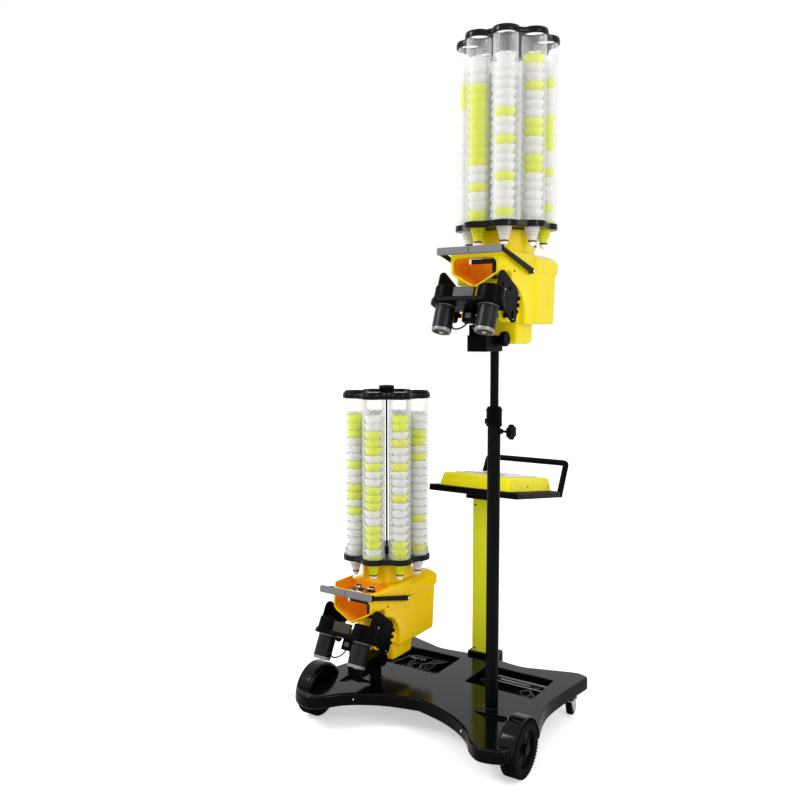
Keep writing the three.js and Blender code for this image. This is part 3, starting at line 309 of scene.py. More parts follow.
def onSide(bm, side):  # a shape drawn for the side at +X, on the side that is asked for
    return bm if side > 0 else flipped(bm)


def gathered(*parts):
    whole = bmesh.new()
    for part in parts:
        mesh = bpy.data.meshes.new("part")
        part.to_mesh(mesh)
        part.free()
        whole.from_mesh(mesh)
        bpy.data.meshes.remove(mesh)
    return whole


def temporary(bm):
    mesh = bpy.data.meshes.new("temporary")
    bm.to_mesh(mesh)
    bm.free()
    return linked("temporary", mesh)


def add(part):  # the steps of a shape
    return ("UNION", part)


def cut(part):
    return ("DIFFERENCE", part)


def keep(part):
    return ("INTERSECT", part)


def shaped(base, *steps, voxel=0.0, smoothing=0):  # joins and cuts, then an even skin with soft edges
    holder = temporary(base)
    tools = []
    for operation, part in steps:
        tools.append(temporary(part))
        work = holder.modifiers.new(operation, "BOOLEAN")
        work.operation = operation
        work.solver = "EXACT"
        work.object = tools[-1]
    if voxel:
        skin = holder.modifiers.new("skin", "REMESH")
        skin.mode = "VOXEL"
        skin.voxel_size = voxel
        ease = holder.modifiers.new("ease", "SMOOTH")
        ease.factor = 0.5
        ease.iterations = smoothing
    bm = readBack(holder)
    for used in [holder] + tools:
        bpy.data.objects.remove(used)
    bmesh.ops.remove_doubles(bm, verts=bm.verts, dist=0.001)
    return bm


def addPiece(name, bm, place, body, finishes, nodes=(), angle=32):
    mesh = bpy.data.meshes.new(name)
    bm.to_mesh(mesh)
    bm.free()
    mesh.transform(millimetres @ place)
    for material in finishes if isinstance(finishes, (list, tuple)) else [finishes]:
        mesh.materials.append(material)
    mesh.polygons.foreach_set("use_smooth", [True] * len(mesh.polygons))
    mesh.set_sharp_from_angle(angle=math.radians(angle))
    piece = linked(name, mesh)
    even = piece.modifiers.new("even", "WEIGHTED_NORMAL")
    even.keep_sharp = True
    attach(piece, body)
    if nodes:
        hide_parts(*nodes)
    return piece


def screw(radius, stand):  # a screw head with a cross recess, standing on Z = 0
    head = turned([(0, -1), (radius, -1), (radius, stand * 0.4)]
                  + corner(radius * 0.72, stand * 0.4, stand * 0.6, 0, 90, 3) + [(0, stand)], 20)
    arm = radius / 2
    slots = [cut(cuboid((-arm, -radius * 0.12, stand * 0.5), (arm, radius * 0.12, stand * 2))),
             cut(cuboid((-radius * 0.12, -arm, stand * 0.5), (radius * 0.12, arm, stand * 2)))]
    return shaped(head, *slots)


# Platform

deck = {
    "front": [(0, -142), (104, -169), (188, -209), (246, -254), (284, -303), (334, -334), (402, -312),
              (426, -262)],
    "side": [(426, -96), (390, 70), (418, 345)],
    "corner": (396, 345, 22), "rear": [(396, 367), (362, 372), (240, 334), (160, 316), (0, 340)],
    "skirt": 44, "wall": 4.5, "thick": 6, "round": 8,
    "wheelY": -191, "axleDrop": 40, "wheelRadius": 90, "wellGap": 5, "fenderWall": 5, "wheelIn": 375,
    "fenderRound": 15, "halfWidth": 426,
    "trayX": (60, 325), "trayY": (75, 258), "trayDepth": 44, "lip": 3, "casterX": 374, "casterY": 284,
    "pocket": [(196, -116), (318, -174), (326, -96)], "pocketDepth": 11,
}


def throughPoints(points, steps):
    last = len(points) - 1
    places = [Vector(p) for p in points]
    line = []
    for i in range(last):
        a, b = places[max(i - 1, 0)], places[i]
        c, d = places[i + 1], places[min(i + 2, last)]
        leave, arrive = (c - a) / 2, (d - b) / 2
        for k in range(steps):
            t = k / steps
            line.append((2 * b - 2 * c + leave + arrive) * t ** 3
                        + (-3 * b + 3 * c - 2 * leave - arrive) * t ** 2 + leave * t + b)
    return line + [places[-1]]


def deckRing(inset, z, steps=7):
    bend = [Vector(point) for point in corner(*deck["corner"], 0, 90, 6)]
    half = (throughPoints(deck["front"], steps) + throughPoints(deck["side"], steps)[:-1] + bend
            + throughPoints(deck["rear"], steps)[1:])
    right = []
    for i, point in enumerate(half):
        along = (half[min(i + 1, len(half) - 1)] - half[max(i - 1, 0)]).normalized()
        if i in (0, len(half) - 1):
            along = Vector((math.copysign(1, along.x), 0))
        right.append((point.x - along.y * inset, point.y + along.x * inset, z))
    return right + [(-x, y, z) for x, y, z in reversed(right[1:-1])]


def buildPlatform():
    d = deck
    edge = corner(0, -d["round"], d["round"], 0, 90, 5)
    outer = lofted([deckRing(2, -d["skirt"]), deckRing(0, -d["skirt"] + 2)]
                   + [deckRing(d["round"] - x, y) for x, y in edge])
    hollow = lofted([deckRing(d["wall"], -d["skirt"] - 4), deckRing(d["wall"], -d["thick"] - d["round"]),
                     deckRing(d["wall"] + d["round"], -d["thick"])])
    wellRadius = d["wheelRadius"] + d["wellGap"]
    radius = wellRadius + d["fenderWall"]
    wellIn = d["wheelIn"] - d["wellGap"]
    casingIn = wellIn - d["fenderWall"]
    soft = d["fenderRound"]
    (left, right), (front, rear) = d["trayX"], d["trayY"]
    lip = d["lip"]
    hem = [(3, -d["trayDepth"]), (0, -d["trayDepth"] + 4), (0, -lip), (-1, -1), (-lip, 0.5), (-lip, 4)]
    axle = axlePlace @ alongX
    adds, cuts = [], []
    for side in (1, -1):
        casing = placed(turned([(0, casingIn)] + corner(radius - soft, casingIn + soft, soft, -90, 0, 6)
                               + corner(radius - 5, d["halfWidth"] - 5.6, 5, 0, 90, 3)
                               + [(0, d["halfWidth"] - 0.6)], 72), axle)
        casing = shaped(casing, cut(cuboid((casingIn - 4, d["wheelY"] - 110, -160),
                                           (d["halfWidth"] + 4, d["wheelY"] + 110, -d["skirt"] - 1))))
        tray = cuboid((left - 3.5, front - 3.5, -d["trayDepth"] - 3.5), (right + 3.5, rear + 3.5, -3))
        pocket = cuboid((192, -178, -d["pocketDepth"] - 3.5), (330, -92, -3))
        adds += [onSide(part, side) for part in (casing, tray, pocket)]
        pole = at(side * machine["poleX"], machine["poleY"], 0)
        caster = at(side * d["casterX"], d["casterY"], 0)
        adds.append(placed(turned([(0, -50), (30.3, -50), (30.3, -2), (31, 0)] + corner(24, 1, 3, 0, 90, 3)
                                  + [(0, 4)], 48), pole))
        adds.append(placed(rod(12, -62, -3, 24), caster))
        well = placed(rod(wellRadius, wellIn, 432, 72), axle)
        wheelRoom = cuboid((wellIn, d["wheelY"] - wellRadius, -68),
                           (432, d["wheelY"] + wellRadius, -d["axleDrop"]))
        trayHollow = lofted([[(x, y, z) for x, y in roundRect(
            left + i, right - i, front + i, rear - i, 7 - i)] for i, z in hem])
        pocketHollow = triangleCutter(d["pocket"], d["pocketDepth"])
        cuts += [onSide(part, side) for part in (well, wheelRoom, trayHollow, pocketHollow)]
        cuts.append(placed(rod(21.7, -44, 11), pole))
        cuts.append(placed(rod(6.4, -68, -27, 24), caster))
    adds.append(rectLoft([(59, 311, 389, 6, -30), (59, 311, 389, 6, 11), (57.5, 312.5, 387.5, 5, 14),
                          (55, 315, 385, 4, 15)]))
    cuts.append(cuboid((-46.8, 323.2, 0), (46.8, 376.8, 19)))
    cuts.append(cuboid((-55, 307, -34), (55, 385, -6)))
    body = shaped(outer, cut(hollow), *[add(part) for part in adds], *[cut(part) for part in cuts])
    bmesh.ops.remove_doubles(body, verts=body.verts, dist=0.02)
    bmesh.ops.dissolve_degenerate(body, edges=body.edges, dist=0.02)
    bmesh.ops.triangulate(body, faces=[f for f in body.faces if len(f.verts) > 4])
    stub = placed(turned([(0, casingIn + 1), (17, casingIn + 1), (17, 373.3), (9, 373.3), (9, 423.5),
                          (8, 424), (0, 424)], 24), axle)
    whole = gathered(body, stub.copy(), flipped(stub))
    whole.normal_update()
    for face in whole.faces:  # painted shade: the upright faces below the top (the skirt, the tray and pocket walls) get a less glossy copy of the deck's black, so they render darker than the top
        if abs(face.normal.z) < 0.2 and face.calc_center_median().z < -5:
            face.material_index = 1
    addPiece("deckShell", whole, deckPlace, "base", [deckGloss, skirtShadeBlack], ["platform"],
             angle=28)


def triangleCutter(points, depth):  # drawn in towards its middle with depth, so its edges are soft
    middle = sum((Vector(p) for p in points), Vector((0, 0))) / 3
    rings = []
    for grow, z in ((-6, -depth), (-3, -depth + 1), (-1, -3), (0, -1), (2, 0.5), (2, 4)):
        ring = []
        for i, point in enumerate(points):
            here = Vector(point)
            near = [(Vector(points[i - 1]) - here).normalized(),
                    (Vector(points[(i + 1) % 3]) - here).normalized()]
            out = (here - middle).normalized() * grow
            for t in (0, 0.25, 0.5, 0.75, 1):
                start, end = here + near[0] * 7, here + near[1] * 7
                bend = start.lerp(here, t).lerp(here.lerp(end, t), t) + out
                ring.append((bend.x, bend.y, z))
        rings.append(ring)
    return lofted(rings)


def buildDeckFittings():
    fixings = []
    for x in (-214, 214):
        angle = math.degrees(math.atan2(*deckNormal(x)))
        fixings.append(placed(screw(4.2, 2.2), at(*deckFront(x), -22) @ turn(-angle, "Z") @ turn(90, "X")))
    for side in (-1, 1):
        fixings.append(placed(screw(4.5, 2.4), at(side * 322, -104, 0)))
    addPiece("skirtScrews", gathered(*fixings), deckPlace, "base", brightScrew)


trayWires = {"left": 9, "right": 5, "radius": 2.6, "low": -40}


def buildTrayWires():  # the loom in each tray, its ends fixed in the tray's walls
    w = trayWires
    draw = random.Random(7)
    (left, right), (front, rear) = deck["trayX"], deck["trayY"]
    for word, side in sides.items():
        lines = []
        for i in range(w[word]):
            x = left + 12 + draw.random() * (right - left - 90)
            points = [(x, rear + 1, w["low"] + 12)]
            for k in range(6):
                points.append((min(right - 8, x + 14 + 70 * draw.random()),
                               rear - 14 - k * (rear - front - 28) / 5, w["low"] + 2 + 16 * draw.random()))
            points.append((x + 40 * draw.random(), front - 1, w["low"] + 8))
            thick = w["radius"] * (0.7 + 0.6 * draw.random())
            lines.append(wire([(side * px, y, z) for px, y, z in points], thick, 2))
        addPiece(word + "TrayWires", gathered(*lines), deckPlace, "base", looseWire)
    strap = []
    for y, z, half in ((rear - 34, -18, 5), (rear - 64, -24, 3.5)):
        strap.append(cuboid((left + 40, y - half, z), (right + 1, y + half, z + 2), 0.8, 2))
    addPiece("trayStraps", gathered(*strap), deckPlace, "base", sleeveGrey)
    rolls = [placed(roundedDisc(19, -8, 8, 3, 40), at(left + 48, front + 62, w["low"] + 20) @ turn(62, "Y")),
             placed(roundedDisc(13, -14, 14, 3, 40), at(left + 96, front + 40, w["low"] + 14) @ alongX)]
    addPiece("trayRolls", gathered(*rolls), deckPlace, "base", blackPlastic)


def deckFront(x):  # where the front skirt is at a place along X
    near = min(throughPoints(deck["front"], 12), key=lambda p: abs(p.x - abs(x)))
    return (math.copysign(near.x, x), near.y)


def deckNormal(x):  # the way the front skirt faces there
    line = throughPoints(deck["front"], 12)
    i = min(range(1, len(line) - 1), key=lambda k: abs(line[k].x - abs(x)))
    along = (line[i + 1] - line[i - 1]).normalized()
    return (math.copysign(along.y, -x), along.x)


tyre = {"in": 375, "out": 427, "lug": 90, "lugs": 54, "hubOut": 430}


def buildWheels():
    t = tyre
    for word, side in sides.items():
        carcass = turned([(58, t["in"]), (81, t["in"]), (85, 379), (85, 423), (81, t["out"]), (60, t["out"]),
                          (57.5, 424), (57.5, 419), (57, 418), (57, 380)], 72, closed=True)
        rim = painted(turned([(0, 424.3), (9.5, 424.3), (9.5, t["in"]), (58.5, t["in"] + 2), (58.5, 420),
                              (54, 420), (53, 417), (20, 417), (17, 419), (17, 428), (15.5, t["hubOut"]),
                              (0, t["hubOut"])], 48), 1)
        rows = []
        for start, inner, outer in ((0, t["in"] + 1, 400), (180 / t["lugs"], 402, t["out"] - 1)):
            lug = cuboid((84, -2.9, inner), (t["lug"], 2.9, outer), 0.8, 1)
            bmesh.ops.rotate(lug, matrix=Matrix.Rotation(math.radians(start), 3, "Z"), verts=lug.verts)
            repeated(lug, t["lugs"])
            rows.append(lug)
        spokes = painted(cuboid((20, -4, 414), (55, 4, 419.5), 1.2, 2), 1)
        repeated(spokes, 6)
        whole = onSide(placed(gathered(carcass, rim, spokes, *rows), alongX), side)
        addPiece(word + "Wheel", whole, deckPlace @ axlePlace, word + "_wheel",
                 [rubber, blackPlastic], [word + "_wheel"])


def refined(node, width, segments=3, angle=25):  # a copy of the part's solid with its edges rounded
    bm = bmesh.new()
    bm.from_mesh(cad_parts[node].data)
    bmesh.ops.scale(bm, vec=(1000, 1000, 1000), verts=bm.verts)
    cleaned(bm)
    bmesh.ops.dissolve_limit(bm, angle_limit=math.radians(2), verts=bm.verts, edges=bm.edges)
    return softened(bm, width, segments, angle)


def buildCasters():
    for word, side in sides.items():
        fork = refined(word + "_caster_fork", 0.8, 2)
        addPiece(word + "CasterFork", fork, Matrix(), word + "_caster", zincSteel,
                 [word + "_caster_fork"])
        place = deckPlace @ at(side * deck["casterX"], deck["casterY"] + 20, -103) @ alongX
        tread = turned([(19, -8)] + corner(23, -6, 4, -90, 0) + corner(23, 6, 4, 0, 90) + [(19, 8)], 48,
                       closed=True)
        core = painted(turned([(4.4, -10), (9, -10), (10, -7), (19.5, -6.5), (19.5, 6.5), (10, 7), (9, 10),
                               (4.4, 10)], 36, closed=True), 1)
        addPiece(word + "CasterWheel", gathered(tread, core), place, word + "_roller",
                 [rubber, blackPlastic], [word + "_caster_wheel"])


def buildPoles():
    tube = turned([(17.5, -43.7), (21.3, -43.7), (21.3, 961), (20.6, 962), (17.5, 962)], 56, closed=True)
    boss = placed(turned([(5, 18), (9, 18), (9, 29.3), (8, 30.3), (5, 30.3)], 28, closed=True),
                  at(0, 0, 930) @ alongX)
    addPiece("mastOuterTube", gathered(tube, boss), mastPlace, "base", powderBlack,
             ["mast_tube"])
    low, top = 946, 1004  # the clamp's ends
    collar = turned([(21.7, low), (25.5, low), (26.5, low + 1), (26.5, low + 9), (25.7, low + 10),
                     (25.7, top - 12), (26.5, top - 11), (26.5, top - 1.5), (25, top), (23, top), (23, 1009),
                     (22, 1010), (14.4, 1010), (14.4, 962.6), (21.7, 962.6)], 56, closed=True)
    bolt = placed(roundedDisc(6.5, 22, 31.5, 1.2, 6), at(0, 0, low + 15) @ turn(-90, "Y"))
    lug = cuboid((-31, -9, low + 6), (-24, 9, low + 24), 2)
    addPiece("mastCollar", gathered(collar, bolt, lug), mastPlace, "base", blackPlastic,
             ["mast_collar"])
    outline = []
    for i in range(72):
        angle = i * 2 * math.pi / 72
        reach = 23 + 2 * math.cos(6 * angle)
        outline.append((reach * math.cos(angle), reach * math.sin(angle)))
    head = slab(outline, 53.3, 70.3, 3.2, 4)
    cap = roundedDisc(10, 69, 72, 1.2)
    stem = turned([(0, 14.7), (4, 14.7), (4, 44), (9, 46), (9, 60), (0, 60)], 28)
    addPiece("clampKnob", placed(gathered(head, stem, cap), alongX), mastPlace @ at(0, 0, 930), "mast_clamp",
             blackPlastic, ["mast_knob"])
    inner = turned([(0, 430), (14, 430), (14, 1232.7), (13, 1233.7), (0, 1233.7)], 48)
    addPiece("mastInnerTube", inner, mastPlace, "mast_inner", powderBlack,
             ["mast_inner_tube"])
    post = turned([(0, -43.7), (21.3, -43.7), (21.3, 41), (20.6, 41.7), (14, 41.7), (14, 85), (13, 85.7),
                   (0, 85.7)], 56)
    addPiece("shortPost", post, postPlace, "base", powderBlack, ["short_post"])


columnSize = {"half": 46.5, "front": 323.5, "rear": 376.5, "corner": 7, "top": 621.7, "seam": 34}


def buildColumn():
    c = columnSize
    body = slab(roundRect(-c["half"], c["half"], c["front"], c["rear"], c["corner"]), 0.3, c["top"], 0.6, 1)
    seams = [cut(cuboid((c["seam"] - 1, c["front"] - 4, -4), (c["seam"] + 1, c["front"] + 1.8, 630))),
             cut(cuboid((-50, c["front"] - 4, 498), (50, c["front"] + 0.8, 499.2)))]
    addPiece("column", shaped(body, *seams), deckPlace, "base", lemonPaint, ["column"])
    fixings = [placed(screw(4, 2), at(x, c["front"], z) @ turn(90, "X"))
               for x in (-33, 40) for z in (26, 590)]
    addPiece("columnScrews", gathered(*fixings), deckPlace, "base", darkScrew)


desk = {"half": 187, "depth": 412, "high": 24, "corner": 10, "slope": 8.1}
deskPlace = deckPlace @ at(0, 228, 661) @ turn(-desk["slope"], "X")


def buildConsole():
    d = desk
    low = -d["high"] / 2
    bed = slab(roundRect(-d["half"], d["half"], 0, d["depth"], d["corner"]), low, d["high"] / 2, 2.4, 3)
    bed = shaped(bed, cut(slab(roundRect(-171, 171, 16, 396, 10), low + 3, 24)))
    bed = shaped(bed, *[cut(cuboid((185.4, y, -5), (190, y + 12, 4))) for y in (22, 44, 118)])
    foot = shaped(cuboid((-54, 122 - 62, -90), (54, 122 + 42, low + 3), 2, 2),
                  cut(placed(cuboid((-200, -500, -400), (200, 700, -39)), turn(d["slope"], "X"))))
    addPiece("consoleFrame", gathered(bed, foot), deskPlace, "base", powderBlack,
             ["console_frame"])
    levels = [(152, 9, 405, 22, 12.3), (152, 9, 405, 22, 15)]
    for i in range(9):
        t = i / 8
        levels.append((151.5 - 7 * t, 9.5 + 7 * t, 404.5 - 7 * t, 22, 15 + 34 * t))
    levels += [(144.5 - x, 16.5 + x, 397.5 - x, 22, z) for x, z in
               [(12 - a, 50.3 + b) for a, b in corner(0, 0, 12, 0, 90, 6)][1:]]
    addPiece("consoleCover", rectLoft(levels, 8), deskPlace, "base", coverYellow,
             ["console_cover"])
    screws = [placed(screw(4, 1.5), at(side * 148.5, y, 30) @ turn(side * 90, "Y") @ turn(side * -8, "X"))
              for side in (1, -1) for y in (172, 366)]
    addPiece("coverScrews", gathered(*screws), deskPlace, "base", darkScrew)
    low = 62.6  # the panel's underside
    plate = shaped(slab(roundRect(-112, 112, 66, 338, 8), low, low + 5, 1.2, 3),
                   cut(slab(roundRect(-84, 84, 150, 322, 4), low + 3, low + 9)))
    border = painted(shaped(slab(roundRect(-111, 111, 67, 337, 8), low + 0.2, low + 1.6),
                            cut(slab(roundRect(-106, 106, 72, 332, 5), low - 1, low + 9))), 1)
    screen = painted(slab(roundRect(-83, 83, 151, 321, 4), low + 2, low + 3.6, 0.5, 1), 2)
    keys = []
    for row in range(2):
        for k in range(5):
            x, y = -72 + k * 36, 88 + row * 30
            key = slab(roundRect(x - 11, x + 11, y - 8, y + 8, 4), low + 4.6, low + 6.2, 0.6, 2)
            keys.append(painted(key, 1))
    addPiece("touchPanel", gathered(plate, border, screen, *keys), deskPlace, "base",
             [panelSilver, panelDark, screenGlass], ["touch_panel"])
    x, start = 177, 422.3
    points = []
    for side in (-1, 1):
        leg = [(side * (x - inset), start + back, z) for inset, back, z in (
            (0, 0, -2), (0, 10, 26), (0, 38, 98), (0, 46, 120), (4, 48, 126), (30, 48, 126))]
        points += leg if side < 0 else leg[::-1]
    bow = wire(points, 12, 8)
    grips = []
    for side in (-1, 1):
        grips.append(cuboid((side * x - 10, 412.3, -12), (side * x + 10, 432.3, 12), 2.5, 3))
        grips.append(placed(turned([(10.2, 0), (11.8, 0), (11.8, 30), (10.2, 31)], 32, closed=True),
                            at(side * x, start + 3, 8) @ turn(-20, "X")))
    addPiece("pushHandle", gathered(bow, *grips), deskPlace, "base", blackPlastic,
             ["push_handle"])


# One shooting head

shell = {"front": -147, "half": 97, "bottom": 130, "top": 355, "noseRound": 38, "edge": 9, "wall": 5,
         "vLow": 238, "vFoot": 6, "vSide": 290, "rear": 244, "into": 92, "pivotY": -79, "cut": 98}


def veeOutline(inset, top, half=None):
    s = shell
    half = s["half"] - inset if half is None else half
    slope = (s["vSide"] - s["vLow"]) / (s["half"] - s["vFoot"])
    low = s["vLow"] + inset
    side = low + (half - s["vFoot"]) * slope
    return [(-s["vFoot"], low), (s["vFoot"], low), (half, side), (half, top), (-half, top), (-half, side)]


def lengthways(outline, front, rear):  # an outline in X and Z, run along Y
    return placed(slab([(x, -z) for x, z in outline][::-1], front, rear), turn(-90, "X"))


def headPiece(name, word, bm, finishes, node="", place=None, body="head", angle=32):
    place = headPlace(name) if place is None else place
    nodes = [name + "_" + node] if node else ()
    addPiece(name + word, bm, place, name + "_" + body, finishes, nodes, angle)


def buildHousing(name):
    s = shell
    edge = s["edge"]
    rounding = [(edge - x, s["top"] - edge + z) for x, z in corner(0, 0, edge, 0, 90, 5)]
    levels = [(0, s["bottom"] - 4)] + rounding
    trim = rectLoft([(s["half"] - i, s["front"] + i / 3, s["rear"], s["noseRound"], z) for i, z in levels], 8)
    nose = cuboid((-s["half"] - 2, s["pivotY"], s["bottom"]), (s["half"] + 2, s["into"], s["top"] + 3))
    swing = placed(rod(s["cut"], -101, 101, 96), pivotPlace @ alongX)
    vee = lengthways(veeOutline(0, s["top"] + 3, s["half"] + 2), s["front"] - 3, s["into"])
    rear = rectLoft([
        (98.5, 78, 239.5, 14, 130), (102, 78, 243, 14, 134), (103, 78, 244, 14, 139), (103, 78, 256, 14, 294),
        (109, 72, 262, 14, 300), (109.5, 72, 262.5, 14, 304), (109.5, 72, 262.5, 14, 332),
        (108, 73, 261, 14, 337), (88, 78, 241, 14, 355)], 8)
    keel = rectLoft([(61, 19, 130, 10, 65), (66, 19, 135, 10, 68), (69, 19, 138, 10, 72),
                     (70, 19, 139, 10, 78), (70, 19, 139, 10, 148)], 6)
    wide, short = 79.0, 46.5
    neck = placed(slab([(-short, -wide), (short, -wide), (wide, -short), (wide, short), (short, wide),
                        (-short, wide), (-wide, short), (-wide, -short)], 346, 431.7), at(0, 74, 0))
    lugs = []
    for side in (-1, 1):
        web = cuboid((60, -79, 135), (72, 24, 175))
        eye = placed(rod(20, 60, 72, 40), pivotPlace @ alongX)
        lugs.append(add(onSide(shaped(web, add(eye)), side)))
    inner = s["noseRound"] - s["wall"]
    cavity = shaped(lengthways(veeOutline(s["wall"], 350), -142, -19),
                    keep(rectLoft([(92, -142, 20, inner, 200), (92, -142, 20, inner, 360)], 8)))
    mouth = rectLoft([(84, -138, -19, 30, 346), (84, -138, -19, 30, 359)], 8)
    wide, bend = 74, 20
    window = lengthways([(-4, 246), (4, 246), (wide, 286)] + corner(wide - bend, 330 - bend, bend, 0, 90, 5)
                        + corner(-wide + bend, 330 - bend, bend, 90, 180, 5) + [(-wide, 286)], -151, -138)
    spindle = placed(rod(12, 409, 436, 32), at(0, 74, 0))
    shaft = placed(rod(7.5, -97, 97, 32), pivotPlace @ alongX)
    body = shaped(nose, cut(swing), add(vee), keep(trim), add(rear), add(keel), add(neck), *lugs, cut(shaft),
                  cut(cavity), cut(mouth), cut(window), cut(spindle), voxel=2.9, smoothing=7)
    headPiece(name, "Housing", body, shellYellow[name], "housing", angle=60)
    marks = []
    for i in range(9):
        angle = math.radians(8 + i * 8.2)
        long = 13 if i % 4 == 0 else 9
        tick = cuboid((96.6, -0.9, -long / 2), (97.7, 0.9, long / 2), 0.3, 1)
        spot = at(0, 111 * math.cos(angle), 111 * math.sin(angle))
        marks.append(placed(tick, pivotPlace @ spot @ Matrix.Rotation(angle - math.pi / 2, 4, "X")))
    marks += [flipped(mark.copy()) for mark in marks]
    headPiece(name, "TiltMarks", gathered(*marks), markPale)
    screws = [placed(screw(4, 1.6), at(side * s["half"], -62, 292) @ turn(side * 90, "Y"))
              for side in (-1, 1)]
    headPiece(name, "HousingScrews", gathered(*screws), darkScrew)


def buildMount(name):
    block = refined(name + "_mount_block", 1.6, 3)
    headPiece(name, "MountBlock", block, blackPlastic, "mount_block", Matrix())
    knobBody = turned([(0, 22.3), (6, 22.3), (6, 40)] + corner(20.5, 43, 3, -90, 0, 4)
                      + corner(20.5, 56, 3, 0, 90, 4) + [(12, 59), (11, 57.5), (0, 57.5)], 64)
    ribs = cuboid((22.9, -1, 43), (24.2, 1, 56), 0.5, 2)
    repeated(ribs, 24)
    headPiece(name, "SideKnob", placed(gathered(knobBody, ribs), alongX), blackPlastic,
              "mount_knob", headPlace(name) @ at(0, -29.5, 82), "side_knob")


def buildBar(name):
    front = -175
    arms = []
    for side in (-1, 1):
        outline = [(39, 289.5), (55, 289.5), (55, 304.5), (front, 359.5), (front, 344.5)]
        arm = placed(slab(outline, 0, 6, 1.4, 3), at(107, 0, 0) @ sideways)
        bolt = placed(rod(8, 97.3, 107, 28), at(0, 47, 297) @ alongX)
        head = painted(placed(turned([(0, 113), (7, 113), (7, 115), (5, 116.5), (0, 117)], 6),
                              at(0, 47, 297) @ alongX), 2)
        bend = cuboid((100, front - 4, 342), (114, front + 9, 362), 2.5, 3)
        parts = gathered(arm, bolt, head, bend)
        arms.append(onSide(parts, side))
    sleeve = painted(cuboid((-112, front - 7.5, 340.5), (111, front + 7.5, 363.5), 3.2, 4), 1)
    sleeve = shaped(sleeve, cut(cuboid((-1.2, front - 9, 338), (1.2, front - 7, 366))))
    headPiece(name, "BumperBar", gathered(*arms, sleeve), [powderBlack, sleeveGrey, brightScrew],
              "bumper_bar")


def buildChute(name):
    tray = placed(refined(name + "_chute", 0.9, 3), headPlace(name).inverted())
    inside = rectLoft([(90.5, -140.8, 60, 31, z) for z in (180, 400)], 8)
    tray = shaped(tray, keep(inside), cut(cuboid((-66, -150, 356), (100, 70, 402))))
    headPiece(name, "Chute", tray, orangePlastic, "chute")


# the front edge of each pair of clips with their distance from the middle, and their underside
gripper = {"clips": ((-122, 15), (-73, 28)), "low": 342}


def buildGripper(name):
    bits = [placed(refined(name + "_gripper", 1.0, 3), headPlace(name).inverted())]
    low = gripper["low"]
    for front, apart in gripper["clips"]:
        base = cuboid((-apart - 17, front - 3, low - 7), (apart + 17, front + 11, low), 1.6, 3)
        bits.append(painted(base, 1))
        for side in (-1, 1):
            x = side * apart
            bits.append(cuboid((x - 13, front, low), (x + 13, front + 21, low + 7), 1.6, 3))
            bits.append(painted(cuboid((x - 9, front + 5, low + 7), (x + 9, front + 16, low + 9), 0.8, 2), 1))
            pin = placed(roundedDisc(3, 0, 2, 0.6, 16), at(x + side * 10, front + 3, low + 7))
            bits.append(painted(pin, 1))
    for start, end, edge, segments in (((28, -124, 334), (74, -112, 347), 2, 2),
                                       ((56, -134, 264), (72, -119, 345), 2.5, 3),
                                       ((-16, -134, 312), (60, -116, 327), 2.5, 3)):
        bits.append(painted(cuboid(start, end, edge, segments), 1))
    bits.append(cuboid((-24, -135, 311), (-15, -117, 329), 1.5, 2))
    bits.append(cuboid((-20, -135.5, 325.5), (22, -130, 329), 1, 2))
    headPiece(name, "Gripper", gathered(*bits), [clipSteel, glossBlack], "gripper",
              body="gripper")


def carriagePlace(name):
    return headPlace(name) @ pivotPlace @ turn(-heads[name]["tilt"], "X")


launcher = {"x": 74, "y": -112, "cap": 42, "capTop": 45, "motor": 31, "motorTop": -12.3, "armIn": 98.8,
            "armOut": 105.8}


def armOutline():  # Y and Z of a side plate, seen from the machine's right
    return ([(-132, -12), (-132, 60)] + corner(-108, 78, 24, 180, 90, 6) + corner(-18, 62, 26, 80, 0, 10)
            + corner(-2, -6, 18, 0, -90, 10) + [(-64, -12)])


